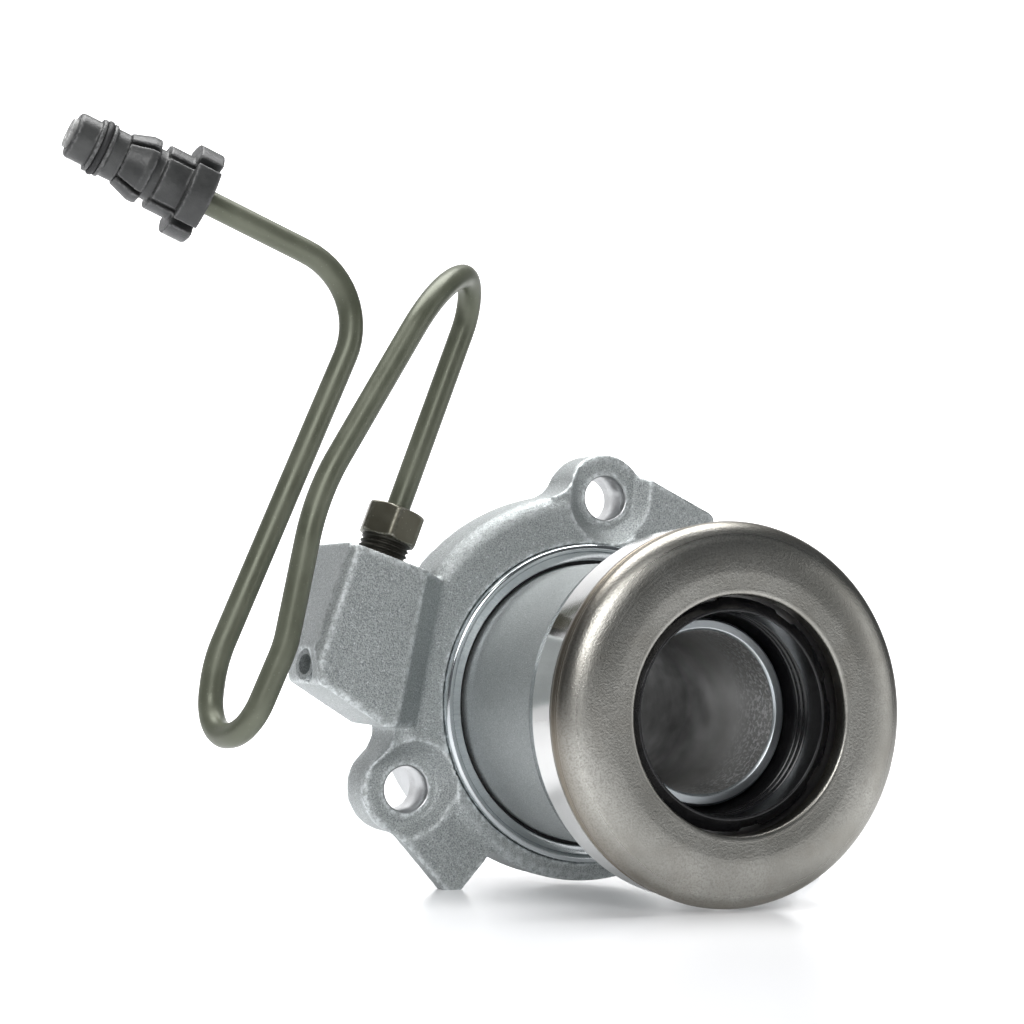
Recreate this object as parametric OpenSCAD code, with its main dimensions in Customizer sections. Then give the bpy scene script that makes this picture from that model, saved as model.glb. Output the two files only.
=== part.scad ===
// Concentric slave cylinder with release bearing, feed pipe and quick connector.
// Sizes in millimetres. Modules are drawn looking at the bearing: x right, y up, z towards the bearing,
// with z = 0 on the gearbox mounting face. stand() turns that into a part with the bore along Y and Z up.

/* [Housing] */
// Diameter of the circle through the three bolt holes
bolt_circle_d = 84; // [80:0.5:88]
// Bolt hole diameter
bolt_hole_d = 9; // [7:0.1:10]
// Angle of the top bolt hole, counted from the right
first_bolt_angle = 82; // [70:1:100]
// Height of the bolt seats over the mounting face
bolt_seat_h = 10; // [8:0.5:12]
// Radius of the flat seat round each bolt hole
bolt_seat_r = 6.4; // [5.5:0.1:7]
// Outer radius of each ear
ear_r = 9; // [8:0.1:10]
// Height of the flange face over the mounting face
flange_h = 13.5; // [12.5:0.5:16]
// Wall of the round body outside the mouth ring, on the plain side
rim_wall = 3.9; // [3:0.1:6]
// Wall of the wide shoulder outside the mouth ring, on the inlet side
shoulder_wall = 10.4; // [9:0.1:12]
// Rounding along the front edge of the shoulder
shoulder_round = 3.5; // [1:0.5:4]
// Rounding along the front edge of the round body
rim_round = 2; // [1:0.5:2.5]
// Distance of the two side teeth from the bore axis
tooth_reach = 48.2; // [45:0.1:50]
// Distance of the long foot of the third ear from the bore axis
foot_reach = 66; // [60:0.5:70]
// Rounding at the tip of each tooth
tooth_tip_r = 2.2; // [1:0.1:3]
// Height of the underside of the teeth over the mounting face
tooth_under = 8; // [5:0.5:9]

/* [Pressure cup] */
// Wall of the cup round the pressure chamber
cup_wall = 6; // [5.5:0.1:7]
// Thickness of the chamber floor
floor_t = 3.5; // [3:0.5:5]
// Length of the cup's neck in the housing
cup_neck_len = 7.5; // [6:0.5:8]
// Diameter of the feed drilling in the cup's wall
feed_d = 2.2; // [1.5:0.1:2.4]

/* [Inlet block] */
// Place of the nut axis on the top of the block, right of the bore axis
inlet_x = -43.8; // [-46:0.1:-42]
// Place of the nut axis on the top of the block, above the bore axis
inlet_y = 29.5; // [28:0.1:31]
// Direction of the nut axis, counted from the right
inlet_angle = 68; // [65:1:75]
// Height of the block face over the mounting face
block_h = 19.5; // [18:0.5:22]
// Width of the block left of the nut axis
block_left = 9.6; // [8.5:0.1:11]
// Width of the block face right of the nut axis, at its top
block_right = 6.8; // [6:0.1:8]
// Length of the block along the nut axis
block_len = 29; // [27:0.5:32]
// Height of the nut axis over the mounting face
inlet_h = 10; // [8.5:0.5:11]
// Chamfer along the front edges of the block
block_chamfer = 1.6; // [0.5:0.1:2.5]
// Diameter of the fluid passage
passage_d = 3; // [2:0.5:4]
// Diameter of the plug that closes the cross drilling
plug_d = 6; // [5.5:0.5:7]

/* [Bore and piston] */
// Inner diameter of the guide tube
tube_bore_d = 30; // [28:0.5:31]
// Wall of the guide tube
tube_wall = 2.25; // [1.5:0.05:2.6]
// Height of the guide tube's open end over the mounting face
tube_end_h = 60.6; // [58:0.2:64]
// Outer diameter of the piston barrel
barrel_d = 56; // [55:0.5:57]
// Height of the piston's rear end over the mounting face, piston out
piston_rear_h = 10; // [9:0.5:12]
// Height of the piston's front shoulder over the mounting face, piston out
piston_front_h = 56; // [54:0.5:60]
// Travel of the piston
stroke = 16; // [10:0.5:16]
// Radial clearance of sliding and turning fits
running_gap = 0.05; // [0.02:0.01:0.1]
// Radial clearance of pieces that are pressed or seated together
seat_gap = 0.02; // [0.01:0.01:0.05]
// Clearance between moving pieces that must not rub
free_gap = 0.3; // [0.2:0.05:0.5]
// Length of the piston seal
seal_len = 5; // [4:0.5:6]
// Thickness of the seal carrier
carrier_t = 2.5; // [2:0.1:3]
// Wire diameter of the preload spring
spring_wire_d = 2; // [1.5:0.1:2.4]

/* [Mouth ring] */
// Distance from the barrel to the outside of the ring
mouth_ring_out = 4.1; // [3.6:0.1:5]
// Height of the ring front over the mounting face
mouth_ring_h = 15; // [14.5:0.1:17]
// Sheet thickness of the ring
mouth_ring_t = 1.3; // [1:0.1:1.6]
// Depth of the ring in the housing
mouth_ring_depth = 4; // [3:0.5:5]

/* [Release bearing] */
// Outer diameter of the polished rear ring
rear_ring_d = 68; // [66:0.5:70]
// Length of the polished rear ring
rear_ring_len = 11.3; // [10:0.1:12]
// Largest diameter of the pressed shell
shell_d = 69.3; // [68:0.1:71]
// Length of the pressed shell
shell_len = 7.9; // [7.5:0.1:8.5]
// Diameter of the hole in the shell's face
shell_lip_d = 42.7; // [42:0.1:44]
// Rounding of the shell's shoulder
shell_round = 4.5; // [3:0.1:5]
// Depth of the dish in the shell's face
dish_depth = 0.6; // [0.2:0.1:1]
// Diameter of the balls
ball_d = 6.8; // [6:0.1:7]
// Number of balls
ball_count = 16; // [12:1:18]
// Diameter of the circle through the ball centres
ball_circle_d = 56; // [55:0.5:57]
// Bore diameter of the plastic centring sleeve
sleeve_bore_d = 36.8; // [36.4:0.1:37.4]
// Outer diameter of the plastic centring sleeve
sleeve_d = 40.4; // [40:0.1:41]

/* [Feed pipe] */
// Outer diameter of the pipe
pipe_d = 4.75; // [4:0.05:5]
// Wall of the pipe
pipe_wall = 0.7; // [0.5:0.05:0.9]
// Thread diameter of the tube nut
nut_thread_d = 10; // [9:0.5:12]
// Width across the flats of the tube nut
nut_flats = 11; // [10.5:0.5:14]
// Height of the hexagon
nut_hex_h = 6.4; // [5:0.1:8]
// Gap between the block and the hexagon
nut_standoff = 4; // [2:0.5:5]
// Depth of the threaded seat in the block
nut_seat_depth = 13; // [10:0.5:14]

/* [Quick connector] */
// Length of the connector, from its nose to the back of its collar
connector_len = 27; // [25:0.5:30]
// Diameter of the nose
nose_d = 8.9; // [8:0.1:9.5]
// Largest diameter of the petals
petal_d = 13; // [12:0.1:14]
// Diameter of the slotted sleeve
slot_sleeve_d = 12.9; // [12:0.1:14]
// Diameter of the castellated collar
collar_d = 18.2; // [17:0.1:20]
// Width of the slots between the petals
petal_slot = 1.1; // [0.8:0.1:1.6]

/* [Hidden] */
$fn = 96;

over = 1;
bolt_r = bolt_circle_d / 2;
bolt_angles = [for (i = [0 : 2]) first_bolt_angle + 120 * i];
top_tooth_swing = 29;
low_tooth_swing = 27;
foot_lean = 2.5;
tooth_start_swing = 50;
tooth_root_swing = 31;
ear_blend_r = 7;
foot_blend_r = 9;

// Tangent outlines are eased by this much, so that they cross instead of touching
blend_ease = 0.05;
seat_slope = 3.2;

tube_r = tube_bore_d / 2 + tube_wall;
barrel_r = barrel_d / 2;
chamber_r = barrel_r + running_gap;
cup_r = chamber_r + cup_wall;
pilot_seal_d = 2;
pilot_seal_h = -6;
pilot_seal_proud = 0.4;
pilot_groove_r = cup_r + pilot_seal_proud - pilot_seal_d;
mouth_r = barrel_r + mouth_ring_out;
rim_r = mouth_r + rim_wall;
shoulder_r = mouth_r + shoulder_wall;
mouth_seat_h = flange_h - mouth_ring_depth;
mouth_lip_gap = 0.7;
mouth_lip_r = barrel_r + mouth_lip_gap;
mouth_lip_step = 0.85;

inlet_dir = [cos(inlet_angle), sin(inlet_angle)];
block_turn = 2;
block_lean = 7.3;
block_slope = block_h - flange_h;
block_corner = 6.1;
block_skew = 3.6;
block_toe_in = 2;
block_toe_drop = 2.4;
block_cut_w = 2.7;
block_cut_rise = 1.4;

// The cross drilling dips from the foot of the nut's passage to the feed drilling in the cup's neck
passage_len = 23;
passage_point = [inlet_x, inlet_y] - inlet_dir * passage_len;
passage_angle = atan2(passage_point[1], passage_point[0]);
passage_r = norm(passage_point);
feed_skin = 1.05;
feed_r = chamber_r + feed_skin + feed_d / 2;
feed_in_h = cup_neck_len / 2;
passage_dip = atan((inlet_h - feed_in_h) / (passage_r - feed_r));
passage_run = norm([passage_r - feed_r, inlet_h - feed_in_h]);
plug_out = 8.2;
plug_len = 3.4;
plug_skin = 1;
plug_clear = 12;

piston_bore_r = tube_r + running_gap;
piston_skin = 3;
piston_web = 6;
sleeve_seat_depth = 6;
seal_rear_h = piston_rear_h - seal_len;
carrier_rear_h = seal_rear_h - carrier_t;
seal_clear = 0.15;
seal_web = 2;
spring_nest_gap = 1;
spring_nest_h = spring_wire_d + spring_nest_gap;
chamber_floor = carrier_rear_h - stroke - spring_nest_h;
feed_port_h = chamber_floor + spring_nest_h / 2;
cup_depth = floor_t - chamber_floor;

rear_ring_r = rear_ring_d / 2;
rear_taper_len = 4;
rear_taper_drop = 1;
rear_ring_front = piston_front_h + rear_ring_len;
shell_rear = rear_ring_front + free_gap;
shell_front = shell_rear + shell_len;
shell_r = shell_d / 2;
shell_lip_r = shell_lip_d / 2;
shell_skin = 2;
ball_r = ball_d / 2;
ball_circle_r = ball_circle_d / 2;
ball_h = rear_ring_front + free_gap / 2;
race_gap = 0.15;
race_r = ball_r + race_gap;
race_edge = 0.5;
hub_drop = 1.6;
hub_step = 2;
hub_len = 12.6;
hub_r = ball_circle_r - hub_drop;
hub_front = piston_front_h + hub_len;
rear_web_t = 3;
rear_rim_t = 2.2;
rear_rim_in = rear_ring_r - rear_rim_t;
sleeve_r = sleeve_d / 2;
sleeve_bore_r = sleeve_bore_d / 2;
hub_bore_gap = 0.1;
hub_bore_r = sleeve_r + hub_bore_gap;
washer_t = 1;
sleeve_flange_t = 2;
flange_rear = hub_front + washer_t + free_gap;
flange_front = flange_rear + sleeve_flange_t;
flange_r = shell_lip_r - free_gap - running_gap;

pipe_r = pipe_d / 2;
pipe_bore_r = pipe_r - pipe_wall;
nut_hex_r = nut_flats / 2 / cos(30);
flare_len = 2;
flare_rise = 1.2;
flare_r = pipe_r + flare_rise;
flare_cone = 0.8;
strand_len = 62.5;

// Corners of the bent pipe after the nut, and the bend radius at each of them
nut_foot = concat([inlet_x, inlet_y] - inlet_dir * nut_seat_depth, inlet_h);
first_corner = concat([inlet_x, inlet_y] + inlet_dir * strand_len, inlet_h);
nose_point = [-105, 108.5, 15];
last_corner = [-46, 82.5, 15.5];
connector_dir = (nose_point - last_corner) / norm(nose_point - last_corner);
pipe_stop = 4;
pipe_end = nose_point - connector_dir * pipe_stop;
pipe_corners = [
    nut_foot, first_corner, [-37.5, 82, 28.5], [-65, 41, 34.5], [-71.5, 13.5, 35],
    [-78.3, -2, 33.8], [-81.9, -3.8, 18.4], [-79.6, 10.5, 17.6], last_corner, pipe_end
];
pipe_bends = [0, 8.5, 24, 45, 22, 8, 8, 30, 15, 0];

// Stations along the connector, counted back from its nose
nose_len = 4.2;
rib_w = 0.8;
rib_rise = 0.75;
rib_r = nose_d / 2 + rib_rise;
groove_w = 1.4;
groove_drop = 0.4;
groove_r = nose_d / 2 - groove_drop;
neck_rise = 0.3;
neck_r = nose_d / 2 + neck_rise;
tip_wall = 1.5;
petal_start = 10;
petal_len = 5.5;
petal_land = 1.5;
waist_len = 1.9;
waist_drop = 1.4;
waist_r = petal_d / 2 - waist_drop;
collar_len = 4.7;
core_drop = 0.15;
spigot_core_r = nose_d / 2 - core_drop;
spigot_set_back = 1;
collar_start = connector_len - collar_len;
sleeve_start = petal_start + petal_len + waist_len;

// Point at an angle and a distance in the flange plane
function at(angle, r) = [r * cos(angle), r * sin(angle)];
function unit(v) = v / norm(v);
function angle_between(a, b) = acos(max(-1, min(1, unit(a) * unit(b))));

// Angles of the outer tangent of two circles, measured at both centres
function tangent_angle(c1, r1, c2, r2, side) =
    atan2(c2[1] - c1[1], c2[0] - c1[0]) + side * acos((r1 - r2) / norm(c2 - c1));

// Part of a vector that is square to a direction
function across(v, dir) = unit(v - (v * dir) * dir);

// Rigid frame with z along a direction
function frame_along(origin, z_axis, x_hint) =
    let (z = unit(z_axis), x = across(x_hint, z), y = cross(z, x))
    [for (i = [0 : 2]) [x[i], y[i], z[i], origin[i]]];

// Points and directions along the round bend at a corner
function bend_stations(before, corner, after, bend_r, steps) =
    let (
        a = unit(corner - before),
        b = unit(after - corner),
        turn = angle_between(a, b),
        centre = corner + unit(b - a) * bend_r / cos(turn / 2),
        side = unit(corner - a * bend_r * tan(turn / 2) - centre)
    )
    [for (k = [0 : steps])
        let (w = turn * k / steps)
        [centre + bend_r * (side * cos(w) + a * sin(w)), a * cos(w) - side * sin(w)]];

// Sideways direction carried along the stations without twist
function carried_side(stations, i) =
    across(i == 0 ? [0, 0, 1] : carried_side(stations, i - 1), stations[i][1]);

function ring_point(station, side, r, angle) =
    station[0] + r * (side * cos(angle) + cross(station[1], side) * sin(angle));

// Turns the drawing frame into the part's own frame
module stand() {
    rotate([90, 0, 0]) children();
}

// Round bar through stations of a point, a direction and a radius, hollow when the bore is over zero
module swept_bar(stations, facets, bore) {
    last = len(stations) - 1;
    inner = (last + 1) * facets;
    outside = [for (i = [0 : last]) let (side = carried_side(stations, i))
        for (k = [0 : facets - 1]) ring_point(stations[i], side, stations[i][2], 360 * k / facets)];
    inside = bore > 0 ? [for (i = [0 : last]) let (side = carried_side(stations, i))
        for (k = [0 : facets - 1]) ring_point(stations[i], side, bore, 360 * k / facets)] : [];
    walls = [for (i = [0 : last - 1]) for (k = [0 : facets - 1])
        let (n = (k + 1) % facets, a = i * facets, b = a + facets) [a + k, b + k, b + n, a + n]];
    bore_walls = [for (w = walls) [inner + w[3], inner + w[2], inner + w[1], inner + w[0]]];
    discs = [[for (k = [0 : facets - 1]) k], [for (k = [facets - 1 : -1 : 0]) last * facets + k]];
    rims = [for (k = [0 : facets - 1]) let (n = (k + 1) % facets, b = last * facets)
        each [[k, n, inner + n, inner + k], [b + n, b + k, inner + b + k, inner + b + n]]];
    ends = bore > 0 ? concat(bore_walls, rims) : discs;
    polyhedron(points = concat(outside, inside), faces = concat(walls, ends));
}

// Ring drawn as a rectangle in the section plane
module ring_section(r1, r2, z1, z2) {
    translate([r1, z1]) square([r2 - r1, z2 - z1]);
}

// Ring section with its outer front corner rounded
module rounded_section(r1, r2, z1, z2, corner) {
    ring_section(r1, r2 - corner, z1, z2);
    ring_section(r1, r2, z1, z2 - corner);
    translate([r2 - corner, z2 - corner]) circle(corner);
}

// Concave fillet between a disc on the axis and an ear
module ear_blend(body_r, ear_angle, ear_dist, ear_radius, blend_r, side) {
    d1 = body_r + blend_r;
    d2 = ear_radius + blend_r;
    swing = acos((d1 * d1 + ear_dist * ear_dist - d2 * d2) / (2 * d1 * ear_dist));
    blend_centre = at(ear_angle + side * swing, d1);
    difference() {
        polygon([[0, 0], at(ear_angle, ear_dist), blend_centre]);
        translate(blend_centre) circle(blend_r + blend_ease);
    }
}

// Straight-sided web between two circles
module tapered_web(c1, r1, c2, r2) {
    up = tangent_angle(c1, r1, c2, r2, 1);
    down = tangent_angle(c1, r1, c2, r2, -1);
    translate(c2) circle(r2);
    polygon([for (end = [[c1, up, r1], [c2, up, r2], [c2, down, r2], [c1, down, r1]])
        end[0] + at(end[1], end[2] - blend_ease)]);
}

// Tooth beside an ear, swung towards the plain side of the body
module side_tooth(ear_angle, swing) {
    side = sign(swing);
    ear = at(ear_angle, bolt_r);
    start = ear + at(ear_angle + side * tooth_start_swing, ear_r - blend_ease);
    root = at(ear_angle + side * tooth_root_swing, rim_r - blend_ease);
    tip = at(ear_angle + swing, tooth_reach - tooth_tip_r);
    outer = tangent_angle(start, 0, tip, tooth_tip_r, -side);
    inner = tangent_angle(root, 0, tip, tooth_tip_r, side);
    translate(tip) circle(tooth_tip_r);
    polygon([ear, start, tip + at(outer, tooth_tip_r - blend_ease), tip,
        tip + at(inner, tooth_tip_r - blend_ease), root, at(ear_angle + side * tooth_root_swing, barrel_r)]);
}

module ear_outlines() {
    for (a = bolt_angles) translate(at(a, bolt_r)) circle(ear_r);
    ear_blend(shoulder_r, bolt_angles[0], bolt_r, ear_r, ear_blend_r, 1);
    ear_blend(shoulder_r, bolt_angles[1], bolt_r, ear_r, ear_blend_r, -1);
    for (side = [-1, 1]) ear_blend(rim_r, bolt_angles[2], bolt_r, ear_r, foot_blend_r, side);
}

module tooth_outlines() {
    side_tooth(bolt_angles[0], -top_tooth_swing);
    side_tooth(bolt_angles[1], low_tooth_swing);
    tapered_web(at(bolt_angles[2], bolt_r), ear_r,
        at(bolt_angles[2] + foot_lean, foot_reach - tooth_tip_r), tooth_tip_r);
}

// Places children on the inlet block: x across, y along the nut axis, z off the mounting face
module on_block() {
    translate([inlet_x, inlet_y, 0]) rotate(inlet_angle - 90) children();
}

// Block that takes the tube nut, with a sloping right side and chamfered left and lower edges
module inlet_block() {
    on_block() rotate(block_turn) difference() {
        linear_extrude(block_h) polygon([
            [-block_left, 0], [block_right + block_slope, 0],
            [block_right + block_skew + block_slope, -block_len],
            [block_right + block_skew - block_toe_in, -block_len - block_toe_drop],
            [-block_left + block_cut_w, -block_len + block_cut_rise],
            [-block_left, -block_len + block_cut_rise + block_corner]
        ]);
        translate([block_right, 0, block_h]) rotate(block_lean) rotate([90, 0, 0])
            translate([0, 0, -block_len]) linear_extrude(3 * block_len)
                polygon([[0, 0], [2 * block_slope, 0], [2 * block_slope, -2 * block_slope]]);
        translate([-block_left, 0, block_h]) rotate([90, 0, 0])
            translate([0, 0, -over]) linear_extrude(block_len + over)
                polygon([[-over, over], [block_chamfer, over], [block_chamfer, 0], [0, -block_chamfer],
                    [-over, -block_chamfer]]);
    }
}

// Flat bolt seat with sloping walls, open towards the outside of the ear
module bolt_seat_cut() {
    rise = seat_slope;
    top_r = bolt_seat_r + rise;
    translate([0, 0, bolt_seat_h]) {
        cylinder(r1 = bolt_seat_r, r2 = top_r, h = rise);
        translate([0, 0, rise]) cylinder(r = top_r, h = over);
        rotate([90, 0, 90]) linear_extrude(2 * ear_r) polygon([
            [-bolt_seat_r, 0], [bolt_seat_r, 0], [top_r, rise], [top_r, rise + over],
            [-top_r, rise + over], [-top_r, rise]
        ]);
    }
}

module housing_solid() {
    rotate_extrude() rounded_section(barrel_r - over, rim_r, 0, flange_h, rim_round);
    rotate(bolt_angles[0]) rotate_extrude(angle = 120)
        rounded_section(barrel_r - over, shoulder_r, 0, flange_h, shoulder_round);
    linear_extrude(flange_h - rim_round / 2) ear_outlines();
    translate([0, 0, tooth_under]) linear_extrude(flange_h - rim_round / 2 - tooth_under) tooth_outlines();
    inlet_block();
}

// Places children on the cross drilling: z runs outwards from the foot of the nut's passage
module on_passage() {
    rotate(passage_angle) translate([passage_r, 0, inlet_h]) rotate([0, 90 - passage_dip, 0]) children();
}

module cross_drilling() {
    on_passage() translate([0, 0, -passage_run]) cylinder(d = passage_d, h = passage_run + plug_clear);
}

module housing_cuts() {
    translate([0, 0, -over]) cylinder(r = chamber_r, h = block_h + 2 * over);
    translate([0, 0, -over]) cylinder(r = cup_r + seat_gap, h = cup_neck_len + seat_gap + over);
    translate([0, 0, mouth_seat_h]) cylinder(r = mouth_r + seat_gap, h = block_h);
    for (a = bolt_angles) rotate(a) translate([bolt_r, 0, 0]) {
        translate([0, 0, -over]) cylinder(d = bolt_hole_d, h = flange_h + 2 * over);
        bolt_seat_cut();
    }
    on_block() translate([0, 0, inlet_h]) rotate([90, 0, 0]) {
        translate([0, 0, -over]) cylinder(d = nut_thread_d, h = nut_seat_depth + over);
        cylinder(d = passage_d, h = passage_len);
    }
    cross_drilling();
    on_passage() translate([0, 0, plug_out - plug_len]) cylinder(d = plug_d + 2 * seat_gap, h = plug_clear);
}

module housing() {
    color("#a9acae") stand() difference() {
        housing_solid();
        housing_cuts();
    }
}

// Cup behind the mounting face that holds the pressure chamber, with its neck seated in the housing
module pressure_cup() {
    groove = pilot_seal_d / 2;
    feed_foot_h = feed_port_h - feed_d / 2;
    port_step = 0.5;
    color("#b4b7b9") stand() difference() {
        rotate_extrude() difference() {
            ring_section(tube_r + seat_gap, cup_r, -cup_depth, cup_neck_len);
            ring_section(0, chamber_r, chamber_floor, cup_neck_len + over);
            ring_section(pilot_groove_r, cup_r + over, pilot_seal_h - groove, pilot_seal_h + groove);
        }
        cross_drilling();
        rotate(passage_angle) {
            translate([feed_r, 0, feed_foot_h]) cylinder(d = feed_d, h = cup_neck_len - feed_foot_h + over);
            translate([tube_r, 0, feed_port_h]) rotate([0, 90, 0])
                cylinder(d = feed_d - port_step, h = feed_r - tube_r);
        }
    }
}

module guide_tube() {
    chamfer = 0.4;
    bore_r = tube_bore_d / 2;
    color("#c9ccce") stand() rotate_extrude() polygon([
        [bore_r, -cup_depth], [tube_r, -cup_depth], [tube_r, tube_end_h - chamfer],
        [tube_r - chamfer, tube_end_h], [bore_r + chamfer, tube_end_h], [bore_r, tube_end_h - chamfer]
    ]);
}

module mouth_ring() {
    bead_r = mouth_lip_step;
    inner_r = mouth_r - mouth_ring_t;
    lip_top = mouth_ring_h - mouth_lip_step;
    color("#d5d8da") stand() rotate_extrude() {
        ring_section(inner_r, mouth_r, mouth_seat_h, mouth_ring_h - bead_r);
        translate([mouth_r - bead_r, mouth_ring_h - bead_r]) circle(bead_r);
        ring_section(mouth_lip_r, inner_r + seat_gap, lip_top - mouth_ring_t, lip_top);
    }
}

module wiper_seal() {
    outer_r = mouth_r - mouth_ring_t - seat_gap;
    top = mouth_ring_h - mouth_lip_step - mouth_ring_t;
    lip_r = barrel_r + seal_clear;
    lip_t = 1;
    color("#1d1e20") stand() rotate_extrude() polygon([
        [lip_r, top], [outer_r, top], [outer_r, mouth_seat_h], [mouth_lip_r + lip_t, mouth_seat_h],
        [mouth_lip_r + lip_t, top - 2 * lip_t], [lip_r, top - lip_t]
    ]);
}

module pilot_seal() {
    ring_r = pilot_groove_r + pilot_seal_d / 2;
    color("#202124") stand() translate([0, 0, pilot_seal_h]) rotate_extrude()
        translate([ring_r, 0]) circle(pilot_seal_d / 2 - seat_gap);
}

// Steel cup that closes the cross drilling in the inlet block
module passage_plug() {
    color("#c4c6c8") stand() on_passage() translate([0, 0, plug_out - plug_len]) difference() {
        cylinder(d = plug_d, h = plug_len);
        translate([0, 0, plug_skin]) cylinder(d = plug_d - 2 * plug_skin, h = plug_len);
    }
}

module tube_nut() {
    bevel = 0.75;
    hex_turn = 15;
    land_step = 0.1;
    cone_rise = 0.4;
    hex_land = nut_flats / 2 - land_step;
    cone_r = nut_hex_r + cone_rise;
    color("#4a4636") stand() on_block() translate([0, 0, inlet_h]) rotate([-90, 0, 0]) difference() {
        union() {
            translate([0, 0, flare_len - nut_seat_depth])
                cylinder(d = nut_thread_d - 2 * running_gap, h = nut_seat_depth - flare_len + nut_standoff);
            translate([0, 0, nut_standoff]) intersection() {
                rotate(hex_turn) cylinder(r = nut_hex_r, h = nut_hex_h, $fn = 6);
                rotate_extrude() polygon([
                    [0, 0], [hex_land, 0], [cone_r, bevel], [cone_r, nut_hex_h - bevel],
                    [hex_land, nut_hex_h], [0, nut_hex_h]
                ]);
            }
        }
        translate([0, 0, -nut_seat_depth]) cylinder(r = pipe_r + running_gap, h = 3 * nut_seat_depth);
    }
}

// Bent pipe with a flared end under the nut
module feed_pipe() {
    bend_steps = 9;
    facets = 20;
    last = len(pipe_corners) - 1;
    start_dir = concat(inlet_dir, 0);
    flare_end = nut_foot + start_dir * (flare_len - running_gap);
    bends = [for (i = [1 : last - 1])
        let (before = pipe_corners[i - 1], after = pipe_corners[i + 1])
        each bend_stations(before, pipe_corners[i], after, pipe_bends[i], bend_steps)];
    stations = concat(
        [[nut_foot, start_dir, flare_r - flare_cone]],
        [for (r = [flare_r, pipe_r]) [flare_end, start_dir, r]],
        [for (s = bends) [s[0], s[1], pipe_r]],
        [[pipe_end, connector_dir, pipe_r]]
    );
    color("#6f7259") stand() swept_bar(stations, facets, pipe_bore_r);
}

// Puts children on the connector: z runs from the nose back along the pipe
module on_connector() {
    multmatrix(frame_along(nose_point, -connector_dir, [0, 0, 1])) children();
}

module connector_spigot() {
    bevel = 0.5;
    rib_1 = nose_len;
    rib_2 = nose_len + rib_w + groove_w;
    tip_recess = 2.5;
    color("#3a3c3e") stand() on_connector() difference() {
        rotate_extrude() polygon([
            [0, 0], [nose_d / 2 - bevel, 0], [nose_d / 2, bevel], [nose_d / 2, rib_1], [rib_r, rib_1],
            [rib_r, rib_1 + rib_w], [groove_r, rib_1 + rib_w], [groove_r, rib_2], [rib_r, rib_2],
            [rib_r, rib_2 + rib_w], [neck_r, rib_2 + rib_w], [neck_r, petal_start],
            [spigot_core_r, petal_start], [spigot_core_r, connector_len - spigot_set_back],
            [0, connector_len - spigot_set_back]
        ]);
        translate([0, 0, pipe_stop]) cylinder(r = pipe_r + seat_gap, h = connector_len);
        translate([0, 0, -over]) cylinder(r = pipe_bore_r, h = pipe_stop + 2 * over);
        translate([0, 0, -over]) cylinder(d = nose_d - 2 * tip_wall, h = tip_recess + over);
    }
}

module connector_seal() {
    cord_r = groove_w / 2 - seat_gap;
    color("#17181a") stand() on_connector() translate([0, 0, nose_len + rib_w + groove_w / 2])
        rotate_extrude() translate([groove_r + cord_r + seat_gap, 0]) circle(cord_r);
}

// Pale filter tip pressed in the nose
module nose_insert() {
    seat_r = nose_d / 2 - tip_wall - seat_gap;
    proud = 0.8;
    seat = 2.4;
    mesh_wall = 0.4;
    color("#b9bab8") stand() on_connector() difference() {
        translate([0, 0, -proud]) cylinder(r = seat_r, h = proud + seat);
        translate([0, 0, -proud - over]) cylinder(r = pipe_bore_r - mesh_wall, h = proud + seat + 2 * over);
    }
}

// Clip with four petals, a slotted sleeve and a castellated collar, moulded in one piece
module lock_cage() {
    bore_r = spigot_core_r + seat_gap;
    petal_r = petal_d / 2;
    nose_rise = 0.35;
    petal_nose_r = neck_r + nose_rise;
    petal_base = petal_start + seat_gap;
    slot_turn = -31;
    tab_step = 0.3;
    sleeve_top_r = slot_sleeve_d / 2;
    skin = 0.6;
    tab_slot = 1.8;
    color("#38393b") stand() on_connector() difference() {
        rotate_extrude() polygon([
            [bore_r, petal_base], [petal_nose_r, petal_base],
            [petal_r, petal_start + petal_len - petal_land], [petal_r, petal_start + petal_len],
            [waist_r, petal_start + petal_len], [waist_r, sleeve_start], [sleeve_top_r, sleeve_start],
            [sleeve_top_r, collar_start], [collar_d / 2, collar_start], [collar_d / 2, connector_len],
            [bore_r, connector_len]
        ]);
        for (a = [0, 90]) rotate(a + slot_turn) {
            translate([-petal_d, -petal_slot / 2, petal_start - over])
                cube([2 * petal_d, petal_slot, petal_len + over]);
            for (side = [0, 180]) rotate(side)
                translate([waist_r + skin / 2, -petal_slot / 2, sleeve_start])
                    cube([collar_d, petal_slot, connector_len]);
            for (side = [0, 180]) rotate(side)
                translate([sleeve_top_r + tab_step, -tab_slot / 2, collar_start - over])
                    cube([collar_d, tab_slot, collar_len + 2 * over]);
        }
    }
}

module piston() {
    pocket_in = piston_bore_r + piston_skin;
    pocket_out = barrel_r - piston_skin;
    bevel = 0.6;
    color("#8d9092") stand() difference() {
        rotate_extrude() difference() {
            polygon([
                [piston_bore_r, piston_rear_h], [barrel_r - bevel, piston_rear_h],
                [barrel_r, piston_rear_h + bevel], [barrel_r, piston_front_h],
                [piston_bore_r, piston_front_h]
            ]);
            ring_section(pocket_in, pocket_out, piston_rear_h + piston_web, piston_front_h - piston_web);
        }
        translate([0, 0, piston_front_h - sleeve_seat_depth])
            cylinder(r = sleeve_r + seat_gap, h = sleeve_seat_depth + over);
    }
}

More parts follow.
